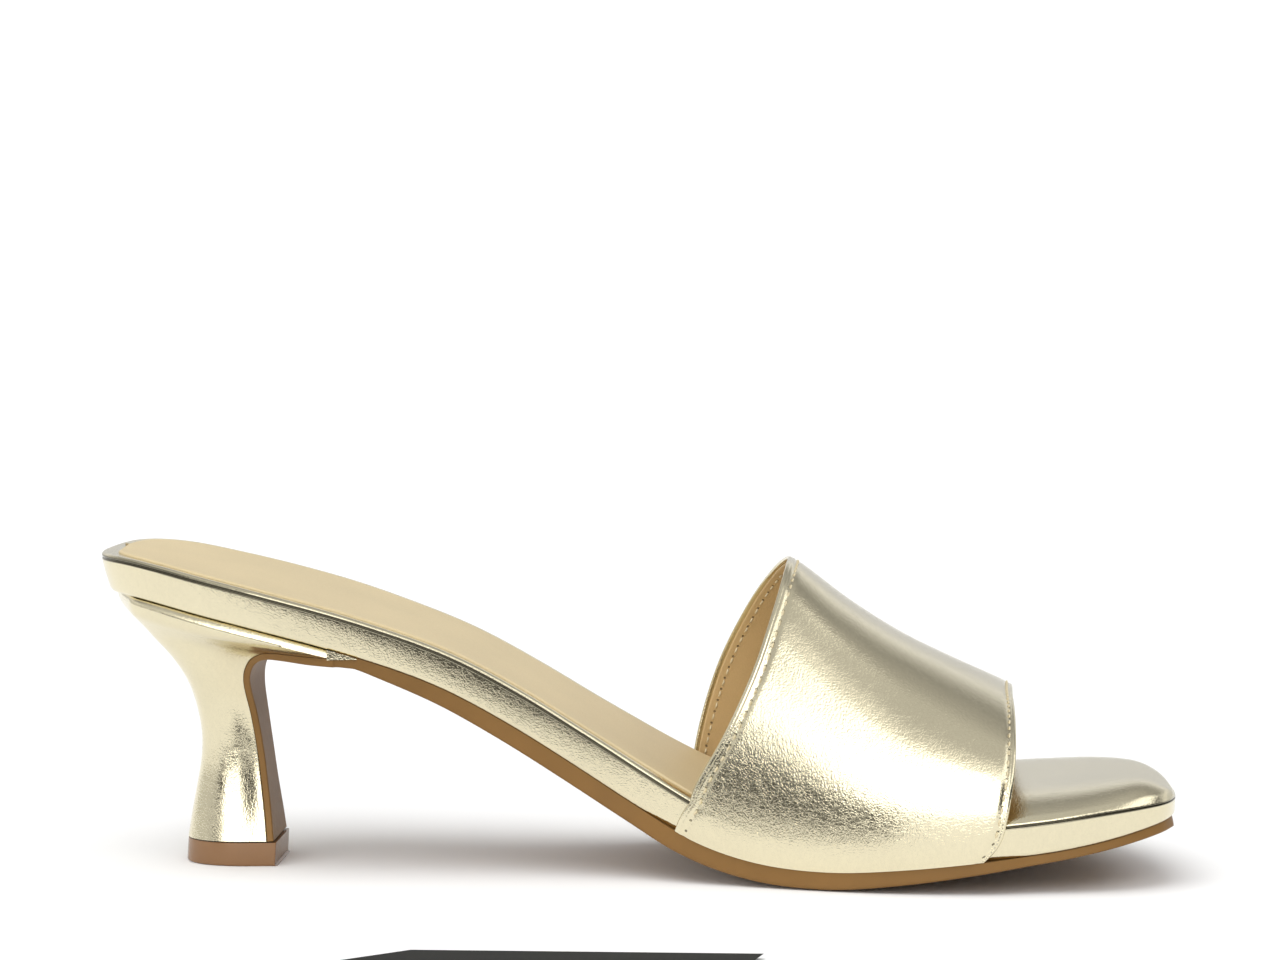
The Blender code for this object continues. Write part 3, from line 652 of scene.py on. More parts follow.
def top_lift(material):
    """Brown top lift: the heel's last ring with the flap in front of it, a little wider at the floor."""
    ring = with_front(heel_rows([1.0], 1 - np.cos(np.linspace(0, 1, 30) * np.pi / 2)))[0]
    centre = HEEL_CENTRE * BALL_WIDTH
    back, front = ring[:, 0].min(), ring[:, 0].max()
    grown = (front + FLAP_THICKNESS + LIFT_AHEAD - back) / (front - back)
    turn = np.linspace(0, np.pi / 2, 6)
    heights = np.concatenate([[LIFT_HEIGHT], LIFT_EDGE * (1 - np.sin(turn))])
    flares = np.concatenate([[0.0], 1 - LIFT_EDGE / LIFT_FLARE * (1 - np.cos(turn))])
    rows = []
    for height, flare in zip(heights, flares):
        wider = 1 + 2 * flare * LIFT_FLARE / LIFT_WIDTH
        x = back - flare * LIFT_FLARE + (ring[:, 0] - back) * grown
        y = centre + (ring[:, 1] - centre) * wider
        rows.append(np.column_stack([x, y, np.full(len(x), height)]))
    grid = np.array([middle_row(rows[0]), *rows, middle_row(rows[-1])])
    return grid_piece("top_lift_block", grid, material, "top_lift")


def under_band(x):
    """1 where the band's wall stands on the outsole, 0 away from it."""
    both = np.interp(x / LENGTH, WALL_ON_SOLE, (0, 1, 1, 0))
    return both * both * (3 - 2 * both)


BETWEEN_STEPS = 14  # rows of the sole between the heel's wings and the footbed's outline


def sole_sides():
    """The outsole laid flat, as reach along its path and place across: its inner side, then its outer one."""
    inset = tuck(LOOP[:, 0]) + 0.3 * BED_EDGE - under_band(LOOP[:, 0]) * (CLEARANCE + BAND_WALL)
    plan = LOOP + LOOP_IN * inset[:, None]
    bed = plan
    reach = np.interp(bed[:, 0], PATH[LEAVE_ROW:, 0], REACH[LEAVE_ROW:])
    bed = np.column_stack([reach + np.maximum(bed[:, 0] - LENGTH, 0), bed[:, 1]])
    inner = bed[: HALF + 1]
    outer = np.concatenate([bed[:1], bed[: HALF - 1 : -1]])
    run = np.linspace(1, 0, 70)
    one = np.ones(1)
    centre = HEEL_CENTRE * BALL_WIDTH
    flap_reach = WING_REACH * (1 - run)
    narrow = centre - heel_side(one, run, -1)
    wide = centre + heel_side(one, run, 1)
    ahead = inner[:, 0] > REACH[LEAVE_ROW]
    far = np.interp(inner[ahead, 0], outer[:, 0], outer[:, 1])
    between = np.linspace(WING_REACH, REACH[LEAVE_ROW], BETWEEN_STEPS + 2)[1:-1]
    place = np.interp(between, REACH, PATH[:, 0])
    near_line, far_line = plan[: HALF + 1], np.concatenate([plan[:1], plan[: HALF - 1 : -1]])
    near_side = np.interp(place, near_line[:, 0], near_line[:, 1])
    far_side = np.interp(place, far_line[:, 0], far_line[:, 1])
    inner_side = np.concatenate(
        [np.column_stack([flap_reach, narrow]), np.column_stack([between, near_side]), inner[ahead]]
    )
    outer_side = np.concatenate(
        [np.column_stack([flap_reach, wide]), np.column_stack([between, far_side]),
         np.column_stack([inner[ahead, 0], far])]
    )
    return inner_side, outer_side


SOLE_EDGE = 0.0006  # radius of the outsole's lower edge
SEATED = 0.8 * CLEARANCE  # the upper face is pressed to the heel and the footbed
WING_FILL = 0.0010  # ahead of the heel's wings the sole rises to the footbed within this length
SIDE_LEVELS = (0.03, 0.12, 0.35, 0.62, 0.85)  # rings down the outsole's side, as shares of it
THICK_SOLE = 0.0030  # thickness to which SOLE_EDGE is compared


def outsole_skin(material):
    """Brown sole: ribs across the laid-out sole, each bent round the path, with a rounded lower edge.

    Under the ball its crown is worn flat where it stands on the floor."""
    inner, outer = sole_sides()
    reach, low, high = inner[:, :1], inner[:, 1:], outer[:, 1:]
    width = high - low
    t = (1 - np.cos(np.linspace(0, np.pi, 22))) / 2
    turn = np.linspace(0, np.pi / 2, 6)[None]
    edge = np.minimum(SOLE_EDGE, 0.3 * width)
    top_y = low + width * t
    lower_y = low + edge + (width - 2 * edge) * t[::-1]
    corner_outer = high - edge * (1 - np.cos(turn))
    corner_inner = low + edge * (1 - np.cos(turn[:, ::-1]))
    rim = SOLE_EDGE / THICK_SOLE
    wall = np.broadcast_to(np.array(SIDE_LEVELS) * (1 - rim), (len(reach), len(SIDE_LEVELS)))
    high_wall, low_wall = (np.broadcast_to(place, wall.shape) for place in (high, low))
    y = np.concatenate([top_y, high_wall, corner_outer[:, :-1], lower_y, corner_inner[:, 1:], low_wall], axis=1)
    full_top, full_low = np.zeros_like(top_y), np.ones_like(lower_y)
    down_outer = np.broadcast_to(1 - rim + rim * np.sin(turn), corner_outer.shape)[:, :-1]
    down_inner = np.broadcast_to(1 - rim + rim * np.sin(turn[:, ::-1]), corner_inner.shape)[:, 1:]
    level = np.concatenate([full_top, wall, down_outer, full_low, down_inner, wall[:, ::-1]], axis=1)
    top = on_path(np.broadcast_to(reach, y.shape), np.zeros(y.shape))
    full = np.interp(reach / WING_REACH, FLAP_FULL, (0, 1))
    depth = FLAP_THICKNESS + (sole_depth(np.maximum(top[..., 0], 0)) - FLAP_THICKNESS) * full
    crowned = np.interp(top[..., 0] / LENGTH, CROWNED_FROM, (0, 1))
    across = 2 * (y - low) / np.maximum(width, 1e-5) - 1
    bulge = SOLE_CROWN * np.clip(1 - across**2, 0, 1) * crowned
    low_point = on_path(np.broadcast_to(reach, y.shape), SEATED * (1 - level) - level * (depth + bulge))
    to_bed = bed_under(top[..., 0]) - CLEARANCE - top[..., 1]
    ahead = np.clip((top[..., 0] - WING * LENGTH) / WING_FILL + 0.4, 0, 1) * (reach > WING_REACH / 2)
    z = np.maximum(low_point[..., 1] + to_bed * ahead * (1 - level), 0)
    grid = np.stack([low_point[..., 0], y, z], axis=-1)
    foot, tip = (np.broadcast_to(row.mean(axis=0), row.shape)[None] for row in (grid[0], grid[-1]))
    skin = np.concatenate([foot, grid, tip])
    return grid_piece("outsole_skin", skin, material, "outsole")


def band_surface(x, around):
    """A point of the band's outer face: up the footbed's side, then a squared half round over the foot."""
    which = np.where(around < 0.5, -1.0, 1.0)
    nearest = np.minimum(around, 1 - around)
    out = side(x, which) + which * (CLEARANCE + BAND_WALL)
    low = bed_under(x)
    spring = low + BAND_SPRING * bed_depth(x)
    foot = np.clip(nearest / BAND_FOOT, 0, 1)
    turn = np.clip((nearest - BAND_FOOT) / (0.5 - BAND_FOOT), 0, 1) * np.pi / 2
    power = 2 / read(RIDGE, "square", x / LENGTH)
    ridge_y = read(RIDGE, "side", x / LENGTH) * BALL_WIDTH
    ridge_z = BALL_LEVEL + BAND_RISE * read(RIDGE, "rise", x / LENGTH)
    over = np.cos(turn) ** power
    y = ridge_y + (out - ridge_y) * over - which * (1 - foot) ** 2 * tuck(x)
    over_foot = spring + (ridge_z - spring) * np.sin(turn) ** power
    z = np.where(foot < 1, low + foot * (spring - low), over_foot)
    return np.stack([x, y, z], axis=-1)


AROUND = np.concatenate([np.linspace(0, BAND_FOOT, 16)[:-1], np.linspace(BAND_FOOT, 1 - BAND_FOOT, 380),
                         np.linspace(1 - BAND_FOOT, 1, 16)[1:]])


def band_edges(around):
    """Where the band's back and front edges lie along the shoe."""
    back = LENGTH * read(EDGES, "back", around, "around")
    front = LENGTH * read(EDGES, "front", around, "around")
    return back, front


def band_normals(x, around):
    """Outward unit normals of the band's outer face, from its slopes along and around."""
    ahead = band_surface(x + 1e-4, around) - band_surface(x - 1e-4, around)
    low, high = np.clip(around - 1e-3, 0, 1), np.clip(around + 1e-3, 0, 1)
    over = band_surface(x, high) - band_surface(x, low)
    normal = np.cross(over, ahead)
    normal /= np.maximum(np.linalg.norm(normal, axis=-1, keepdims=True), 1e-12)
    return -normal if normal[len(normal) // 2].mean(axis=0)[2] < 0 else normal


def band_widths(around):
    """Length over the skin from the back edge to the front one."""
    back, front = band_edges(around)
    share = np.linspace(0, 1, 41)
    points = band_surface(back[:, None] + (front - back)[:, None] * share, around[:, None] + 0 * share)
    return np.linalg.norm(np.diff(points, axis=1), axis=2).sum(axis=1)


# The band's layers, as depths below its outer face
GOLD_DEPTH = 0.0009
LINING_DEPTH = BAND_WALL
LINING_INSET = 0.0009  # the lining's edge lies inside the folded gold edge
FOLD_WIDTH = 0.0007  # the outer face rolls down to the fold over this width
FOLD_DROP = 0.00022
LIP = 0.0010  # a fine groove beside the fold, at this distance from the edge
LIP_WIDTH = 0.00018
LIP_DIP = 0.00010
SEAM_BACK = 0.0023  # stitch rows, from the back edge and from the front edge
SEAM_FRONT = 0.0017
SEAM_DIP = 0.00020  # the thread pulls the leather down this much
SEAM_WIDTH = 0.00060
STITCH_PITCH = 0.0026


def skin_relief(near_back, near_front):
    """How far the outer face lies below its smooth form: the roll to each fold and a dip along each seam."""
    roll = np.exp(-((near_back / FOLD_WIDTH) ** 2)) + np.exp(-((near_front / FOLD_WIDTH) ** 2))
    back = np.exp(-(((near_back - SEAM_BACK) / SEAM_WIDTH) ** 2))
    front = np.exp(-(((near_front - SEAM_FRONT) / SEAM_WIDTH) ** 2))
    lip = np.exp(-(((near_back - LIP) / LIP_WIDTH) ** 2)) + np.exp(-(((near_front - LIP) / LIP_WIDTH) ** 2))
    return FOLD_DROP * roll + SEAM_DIP * (back + front) + LIP_DIP * lip


def band_layer(name, material, outer_depth, inner_depth, inset, relief):
    """One layer of the band as a closed skin: outer face, fold, inner face and fold, in one loop per row.

    A row is a place around the foot. The folds are half circles between the layer's two depths."""
    radius = (inner_depth - outer_depth) / 2
    around = AROUND[:, None]
    back, front = band_edges(AROUND)
    wide = band_widths(AROUND)[:, None]
    close = np.array([*np.linspace(0.0, 0.0012, 11), *np.linspace(0.0014, 0.0034, 9), 0.0040, 0.0050, 0.0065])
    start = (radius + inset + close) / wide
    rest = np.linspace(0, 1, 44)[1:-1]
    share = np.concatenate([start, start[:, -1:] + (1 - 2 * start[:, -1:]) * rest, 1 - start[:, ::-1]], axis=1)
    x = back[:, None] + (front - back)[:, None] * share
    place = band_surface(x, around + 0 * x)
    normal = band_normals(x, around + 0 * x)
    sunk = outer_depth + relief * skin_relief(share * wide, (1 - share) * wide)
    outer = place - normal * sunk[..., None]
    inner = place - normal * inner_depth
    turn = np.linspace(0, np.pi, 9)[1:-1]

    def fold(edge_outer, edge_inner, beside):
        """Half circle from the outer point to the inner one, bulging away from the face."""
        away = edge_outer - beside
        away /= np.linalg.norm(away, axis=-1, keepdims=True)
        middle = (edge_outer + edge_inner) / 2
        half = (edge_outer - edge_inner) / 2
        reach = np.linalg.norm(half, axis=-1, keepdims=True)
        return (middle[:, None] + half[:, None] * np.cos(turn)[:, None]
                + (away * reach)[:, None] * np.sin(turn)[:, None])

    front_fold = fold(outer[:, -1], inner[:, -1], outer[:, -3])
    back_fold = fold(inner[:, 0], outer[:, 0], inner[:, 2])
    loops = np.concatenate([outer, front_fold, inner[:, ::-1], back_fold], axis=1)
    faces = outer.shape[1]
    partner = np.concatenate([np.arange(faces)[::-1] + faces + len(turn), np.arange(len(turn))[::-1] + faces,
                              np.arange(faces)[::-1], np.arange(len(turn))[::-1] + 2 * faces + len(turn)])
    closing = (loops[[0, -1]] + loops[[0, -1]][:, partner]) / 2
    grid = np.concatenate([closing[:1], loops, closing[1:]])
    length = np.concatenate([[0], np.cumsum(np.linalg.norm(np.diff(outer[:, 8], axis=0), axis=1))])
    walk = np.broadcast_to(length[:, None], loops.shape[:2])
    to_back = np.concatenate([share * wide, np.zeros((len(share), len(turn))), (share * wide)[:, ::-1],
                              np.zeros((len(share), len(turn)))], axis=1)
    to_front = np.where(to_back > 0, wide - to_back, 0)
    nearest = np.where(to_back < to_front, to_back - SEAM_BACK, to_front - SEAM_FRONT)
    uv = np.stack([walk / STITCH_PITCH, nearest * 1e3], axis=-1)
    uv = np.concatenate([uv[:1], uv, uv[-1:]])
    return grid_piece(name, grid, material, "upper_band", uv=uv)


STITCH_LENGTH = 0.0017
THREAD_RADIUS = 0.00022


def seam(name, material, from_back, depth, out, ends):
    """A row of stitches along an edge of the band: each an arc of thread between two needle holes.

    from_back is 1 for the back edge's row and 0 for the front's, depth the face it lies on, out 1 for the
    outer face and -1 for the lining, and ends the places around between which the row runs."""
    around = np.linspace(*ends, 900)
    back, front = band_edges(around)
    wide = band_widths(around)
    inset = SEAM_BACK if from_back else SEAM_FRONT
    share = inset / wide if from_back else 1 - inset / wide
    x = back + (front - back) * share
    place = band_surface(x, around)
    normal = band_normals(x[:, None], around[:, None])[:, 0]
    line = place - normal * depth
    length = np.concatenate([[0], np.cumsum(np.linalg.norm(np.diff(line, axis=0), axis=1))])
    count = int(length[-1] / STITCH_PITCH)
    start = (np.arange(count) + 0.5) * STITCH_PITCH
    k = np.linspace(0, 1, 9)
    at = start[:, None] + (k - 0.5) * STITCH_LENGTH

    def along(values):
        return np.stack([np.interp(at, length, values[:, axis]) for axis in range(3)], axis=-1)

    centre, up = along(line), along(normal) * out
    ahead = np.gradient(centre, axis=1)
    ahead /= np.linalg.norm(ahead, axis=-1, keepdims=True)
    across = np.cross(ahead, up)
    rise = THREAD_RADIUS * (1.5 * np.sin(np.pi * k) - 0.9)
    centre = centre + up * rise[:, None]
    thick = THREAD_RADIUS * np.sqrt(np.clip(np.sin(np.pi * k), 0, 1)) * 1.05
    turn = np.arange(8) / 8 * 2 * np.pi
    ring = across[..., None, :] * np.cos(turn)[:, None] + up[..., None, :] * np.sin(turn)[:, None]
    points = centre[..., None, :] + ring * thick[:, None, None]
    index = np.arange(count * len(k) * len(turn)).reshape(count, len(k), len(turn))
    index = np.concatenate([index, index[..., :1]], axis=2)
    quads = np.stack([index[:, :-1, :-1], index[:, :-1, 1:], index[:, 1:, 1:], index[:, 1:, :-1]], axis=-1)
    mesh = bpy.data.meshes.new(name)
    place = points.reshape(-1, 3) - np.array([LENGTH / 2, 0, 0])
    mesh.from_pydata(place.tolist(), [], quads.reshape(-1, 4).tolist())
    return finished(name, mesh, material, None)


def group(name, inputs, outputs):
    """A node group with named inputs, given as name: (kind, value), and outputs, given as name: kind."""
    tree = bpy.data.node_groups.new(name, "ShaderNodeTree")
    for label, (kind, value) in inputs.items():
        socket = tree.interface.new_socket(label, in_out="INPUT", socket_type=kind)
        if value is not None:
            socket.default_value = value
    for label, kind in outputs.items():
        tree.interface.new_socket(label, in_out="OUTPUT", socket_type=kind)
    return tree, tree.nodes.new("NodeGroupInput"), tree.nodes.new("NodeGroupOutput")


def node(tree, kind, inputs=None, **settings):
    """A node with its settings, and its inputs linked where given a socket and set where given a value."""
    made = tree.nodes.new(kind)
    for label, value in settings.items():
        setattr(made, label, value)
    for label, value in (inputs or {}).items():
        if isinstance(value, bpy.types.NodeSocket):
            tree.links.new(value, made.inputs[label])
        else:
            made.inputs[label].default_value = value
    return made


def math(tree, operation, a, b=0.0, c=0.0, clamp=False):
    """A Math node's value."""
    return node(tree, "ShaderNodeMath", {0: a, 1: b, 2: c}, operation=operation, use_clamp=clamp).outputs[0]


def grain_group():
    """Leather's grain: small cells with soft furrows between, and longer creases that cross them.

    Height is 0 in the furrows and 1 on the cells, and tone drifts slowly over the hide."""
    tree, given, out = group(
        "leather_grain",
        {"Vector": ("NodeSocketVector", None), "Cell": ("NodeSocketFloat", 1600.0),
         "Crease": ("NodeSocketFloat", 0.4)},
        {"Height": "NodeSocketFloat", "Tone": "NodeSocketFloat"},
    )
    at, cell, crease = given.outputs["Vector"], given.outputs["Cell"], given.outputs["Crease"]
    bend = node(tree, "ShaderNodeTexNoise", {"Vector": at, "Scale": 420.0, "Detail": 2.0})
    shifted = node(tree, "ShaderNodeVectorMath", {0: bend.outputs["Color"], 1: (0.5, 0.5, 0.5)},
                   operation="SUBTRACT").outputs[0]
    pushed = node(tree, "ShaderNodeVectorMath", {0: shifted, 1: (0.0016, 0.0016, 0.0016), 2: at},
                  operation="MULTIPLY_ADD").outputs[0]
    cells = node(tree, "ShaderNodeTexVoronoi", {"Vector": pushed, "Scale": cell, "Randomness": 0.9},
                 feature="DISTANCE_TO_EDGE").outputs["Distance"]
    pad = node(tree, "ShaderNodeMapRange", {"Value": cells, "From Min": 0.0, "From Max": 0.22},
               interpolation_type="SMOOTHSTEP").outputs[0]
    stretched = node(tree, "ShaderNodeMapping", {"Vector": pushed, "Scale": (1.0, 1.0, 0.45)}).outputs[0]
    wave = node(tree, "ShaderNodeTexNoise",
                {"Vector": stretched, "Scale": 1500.0, "Detail": 3.0, "Roughness": 0.6}).outputs[0]
    fold = node(tree, "ShaderNodeMapRange", {"Value": wave, "From Min": 0.38, "From Max": 0.62},
                interpolation_type="SMOOTHSTEP").outputs[0]
    mixed = node(tree, "ShaderNodeMix", {0: crease, 2: pad, 3: fold}, data_type="FLOAT").outputs[0]
    drift = node(tree, "ShaderNodeTexNoise", {"Vector": at, "Scale": 38.0, "Detail": 3.0}).outputs[0]
    tree.links.new(mixed, out.inputs["Height"])
    tree.links.new(drift, out.inputs["Tone"])
    return tree


def holes_group():
    """Needle holes between the stitches of a row, from the row map: x counts stitches, y is the distance
    from the row in millimetres. Mask is 1 in a hole."""
    tree, given, out = group(
        "needle_holes",
        {"Map": ("NodeSocketVector", None), "Radius": ("NodeSocketFloat", 0.22)},
        {"Mask": "NodeSocketFloat"},
    )
    parts = node(tree, "ShaderNodeSeparateXYZ", {0: given.outputs["Map"]})
    share = math(tree, "FRACT", parts.outputs[0])
    off = math(tree, "MULTIPLY", math(tree, "SUBTRACT", share, 0.5), STITCH_PITCH * 1e3)
    far = math(tree, "SQRT", math(tree, "ADD", math(tree, "MULTIPLY", off, off),
                                  math(tree, "MULTIPLY", parts.outputs[1], parts.outputs[1])))
    soft = node(tree, "ShaderNodeMapRange",
                {"Value": math(tree, "DIVIDE", far, given.outputs["Radius"]), "From Min": 0.7, "From Max": 1.3,
                 "To Min": 1.0, "To Max": 0.0}, interpolation_type="SMOOTHSTEP").outputs[0]
    tree.links.new(soft, out.inputs["Mask"])
    return tree


def crease_shade_group():
    """Painted shade along the footbed's crease, from the row map's y, in crease widths from its middle: Mask is 1
    on it.
    """
    tree, given, out = group("crease_shade_line", {"Map": ("NodeSocketVector", None)}, {"Mask": "NodeSocketFloat"})
    parts = node(tree, "ShaderNodeSeparateXYZ", {0: given.outputs["Map"]})
    far = math(tree, "ABSOLUTE", parts.outputs[1])
    soft = node(tree, "ShaderNodeMapRange", {"Value": far, "From Min": 0.55, "From Max": 1.4, "To Min": 1.0,
                                             "To Max": 0.0}, interpolation_type="SMOOTHSTEP").outputs[0]
    tree.links.new(soft, out.inputs["Mask"])
    return tree


def leather(name, colour, roughness, metallic, grain, cell, crease, depth, tone=0.04, holes=None, line=None):
    """A leather: its colour drifts with the hide's tone, its roughness and relief follow the grain. Painted shade
    darkens its colour in the needle holes, given holes, and along a crease, given line.
    """
    material = bpy.data.materials.new(name)
    material.use_nodes = True
    tree = material.node_tree
    shader = tree.nodes["Principled BSDF"]
    shader.inputs["Metallic"].default_value = metallic
    at = node(tree, "ShaderNodeTexCoord").outputs["Object"]
    skin = node(tree, "ShaderNodeGroup", node_tree=grain)
    tree.links.new(at, skin.inputs["Vector"])
    skin.inputs["Cell"].default_value = cell
    skin.inputs["Crease"].default_value = crease
    shade = node(tree, "ShaderNodeMapRange", {"Value": skin.outputs["Tone"], "From Min": 0.3, "From Max": 0.7,
                                              "To Min": 1 - tone, "To Max": 1 + tone}).outputs[0]
    furrow = node(tree, "ShaderNodeMapRange", {"Value": skin.outputs["Height"], "To Min": 0.95, "To Max": 1.0})
    both = math(tree, "MULTIPLY", shade, furrow.outputs[0])
    tinted = node(tree, "ShaderNodeVectorMath", {0: colour, 3: both}, operation="SCALE").outputs[0]
    height = skin.outputs["Height"]
    if holes:
        row = node(tree, "ShaderNodeUVMap", uv_map="rows").outputs[0]
        hole = node(tree, "ShaderNodeGroup", {"Map": row}, node_tree=holes).outputs["Mask"]
        # painted shade: the colour is darkened in each needle hole, besides the hole's dip in the relief
        painted_shade_factor = math(tree, "SUBTRACT", 1.0, math(tree, "MULTIPLY", hole, 0.6))
        tinted = node(tree, "ShaderNodeVectorMath", {0: tinted, 3: painted_shade_factor}, operation="SCALE").outputs[0]
        height = math(tree, "SUBTRACT", height, math(tree, "MULTIPLY", hole, 12.0))
    if line:
        row = node(tree, "ShaderNodeUVMap", uv_map="rows").outputs[0]
        painted_crease_shade = node(tree, "ShaderNodeGroup", {"Map": row}, node_tree=line).outputs["Mask"]
        # painted shade: the colour is darkened along the crease, where its walls shade each other
        painted_shade_factor = math(tree, "SUBTRACT", 1.0, math(tree, "MULTIPLY", painted_crease_shade, 0.82))
        tinted = node(tree, "ShaderNodeVectorMath", {0: tinted, 3: painted_shade_factor}, operation="SCALE").outputs[0]
    tree.links.new(tinted, shader.inputs["Base Color"])
    rough = node(tree, "ShaderNodeMapRange", {"Value": skin.outputs["Height"], "To Min": roughness + 0.05,
                                              "To Max": roughness}).outputs[0]
    tree.links.new(rough, shader.inputs["Roughness"])
    bump = node(tree, "ShaderNodeBump", {"Strength": 1.0, "Distance": depth, "Height": height})
    tree.links.new(bump.outputs[0], shader.inputs["Normal"])
    return material


def plain_brown(name, colour, roughness, mottle, depth, scale, shine):
    """Brown sole stuff: a soft mottle in its colour and roughness, and a fine relief."""
    material = bpy.data.materials.new(name)
    material.use_nodes = True
    tree = material.node_tree
    shader = tree.nodes["Principled BSDF"]
    shader.inputs["Specular IOR Level"].default_value = shine
    at = node(tree, "ShaderNodeTexCoord").outputs["Object"]
    blot = node(tree, "ShaderNodeTexNoise", {"Vector": at, "Scale": 60.0, "Detail": 5.0, "Roughness": 0.55})
    fine = node(tree, "ShaderNodeTexNoise", {"Vector": at, "Scale": scale, "Detail": 4.0})
    shade = node(tree, "ShaderNodeMapRange", {"Value": blot.outputs[0], "From Min": 0.3, "From Max": 0.7,
                                              "To Min": 1 - mottle, "To Max": 1 + mottle}).outputs[0]
    tinted = node(tree, "ShaderNodeVectorMath", {0: colour, 3: shade}, operation="SCALE").outputs[0]
    tree.links.new(tinted, shader.inputs["Base Color"])
    rough = node(tree, "ShaderNodeMapRange", {"Value": fine.outputs[0], "To Min": roughness - 0.06,
                                              "To Max": roughness + 0.06}).outputs[0]
    tree.links.new(rough, shader.inputs["Roughness"])
    bump = node(tree, "ShaderNodeBump", {"Strength": 1.0, "Distance": depth, "Height": fine.outputs[0]})
    tree.links.new(bump.outputs[0], shader.inputs["Normal"])
    return material


def finishes():
    grain = grain_group()
    holes = holes_group()
    gold = (0.77, 0.70, 0.50)
    skin = {"roughness": 0.12, "metallic": 1.0, "grain": grain, "cell": 1500.0, "crease": 0.5,
            "depth": 0.000018}
    return {
        "gold": leather("gold_leather", gold, **skin),
        # the footbed's gold, with painted shade along its crease
        "gold_crease_shaded": leather("gold_leather_crease_shaded", gold, line=crease_shade_group(), **skin),
        "gold_sewn": leather("gold_leather_sewn", gold, holes=holes, **skin),
        "lining": leather("tan_lining", (0.60, 0.42, 0.20), 0.50, 0.0, grain, 1500.0, 0.3, 0.00003,
                          holes=holes),
        "sock": leather("tan_sock", (0.65, 0.53, 0.315), 0.50, 0.0, grain, 1500.0, 0.3, 0.00002),
        "thread": leather("thread", (0.74, 0.64, 0.42), 0.40, 0.3, grain, 3000.0, 0.8, 0.00003),
        "sole": plain_brown("sole_brown", (0.215, 0.112, 0.032), 0.50, 0.10, 0.00002, 900.0, 0.22),
        "lift": plain_brown("lift_brown", (0.235, 0.122, 0.052), 0.24, 0.08, 0.000008, 700.0, 0.45),
    }


def shoe_pieces():
    finish = finishes()
    footbed_wrap(finish["gold_crease_shaded"])
    insock(finish["sock"])
    heel_cover(finish["gold"])
    wing_tips(finish["gold"])
    top_lift(finish["lift"])
    outsole_skin(finish["sole"])
    band_layer("band_gold", finish["gold_sewn"], 0.0, GOLD_DEPTH, 0.0, 1.0)
    band_layer("band_lining", finish["lining"], GOLD_DEPTH, LINING_DEPTH, LINING_INSET, 0.0)
    ends = (0.035, 0.965)
    for name, from_back, depth, out in (
        ("back_seam", 1, SEAM_DIP, 1),
        ("front_seam", 0, SEAM_DIP, 1),
        ("back_seam_inside", 1, LINING_DEPTH, -1),
        ("front_seam_inside", 0, LINING_DEPTH, -1),
    ):
        seam(name, finish["thread"], from_back, depth, out, ends)


# Camera: the photograph's view, held on a point in the shoe and rolled a little
PHOTO_WIDTH, PHOTO_HEIGHT = 1280, 960
FOCAL_PIXELS = 5875.0
SENSOR_MM = 36.0
AZIMUTH, ELEVATION = np.radians(5.0), np.radians(8.0)
DISTANCE = 1.25
TARGET = np.array([-0.0004, -0.0012, 0.03445])
TARGET_PIXEL = (634.9, 701.9)
ROLL = 0.0047


def photo_camera():
    """A camera at the photograph's angle, turned so that the target falls on its pixel."""
    back = np.array([np.sin(AZIMUTH) * np.cos(ELEVATION), -np.cos(AZIMUTH) * np.cos(ELEVATION),
                     np.sin(ELEVATION)])
    right = np.array([np.cos(AZIMUTH), np.sin(AZIMUTH), 0.0])
    up = np.cross(back, right)
    aside = (PHOTO_WIDTH / 2 - TARGET_PIXEL[0]) / FOCAL_PIXELS
    above = (TARGET_PIXEL[1] - PHOTO_HEIGHT / 2) / FOCAL_PIXELS
    look = -back + right * aside + up * above
    look /= np.linalg.norm(look)
    level = np.cross(look, up)
    level /= np.linalg.norm(level)
    upright = np.cross(level, look)
    rolled = level * np.cos(ROLL) - upright * np.sin(ROLL)
    stand = np.cross(rolled, look)
    data = bpy.data.cameras.new("photo_camera")
    data.sensor_width = SENSOR_MM
    data.lens = FOCAL_PIXELS / PHOTO_WIDTH * SENSOR_MM
    data.clip_start, data.clip_end = 0.05, 60.0
    camera = bpy.data.objects.new("photo_camera", data)
    turn = Matrix((rolled, stand, -look)).transposed().to_4x4()
    camera.matrix_world = Matrix.Translation(Vector(TARGET + back * DISTANCE)) @ turn
    bpy.context.scene.collection.objects.link(camera)
    bpy.context.scene.camera = camera


def floor():
    """A pale floor, far larger than the view."""
    mesh = bpy.data.meshes.new("floor")
    half = 25.0
    mesh.from_pydata([(-half, -half, 0), (half, -half, 0), (half, half, 0), (-half, half, 0)], [], [(0, 1, 2, 3)])
    material = bpy.data.materials.new("pale_floor")
    material.use_nodes = True
    shader = material.node_tree.nodes["Principled BSDF"]
    shader.inputs["Base Color"].default_value = (0.92, 0.92, 0.92, 1)
    shader.inputs["Roughness"].default_value = 0.9
    mesh.materials.append(material)
    piece = bpy.data.objects.new("floor", mesh)
    bpy.context.scene.collection.objects.link(piece)


def ramp(tree, value, stops):
    """A grey ramp over a value, from (place, level) pairs."""
    made = node(tree, "ShaderNodeValToRGB", {0: value})
    made.color_ramp.interpolation = "EASE"
    elements = made.color_ramp.elements
    while len(elements) < len(stops):
        elements.new(0.5)
    for element, (place, level) in zip(elements, stops):
        element.position = place
        element.color = (level, level, level, 1)
    return made.outputs[0]


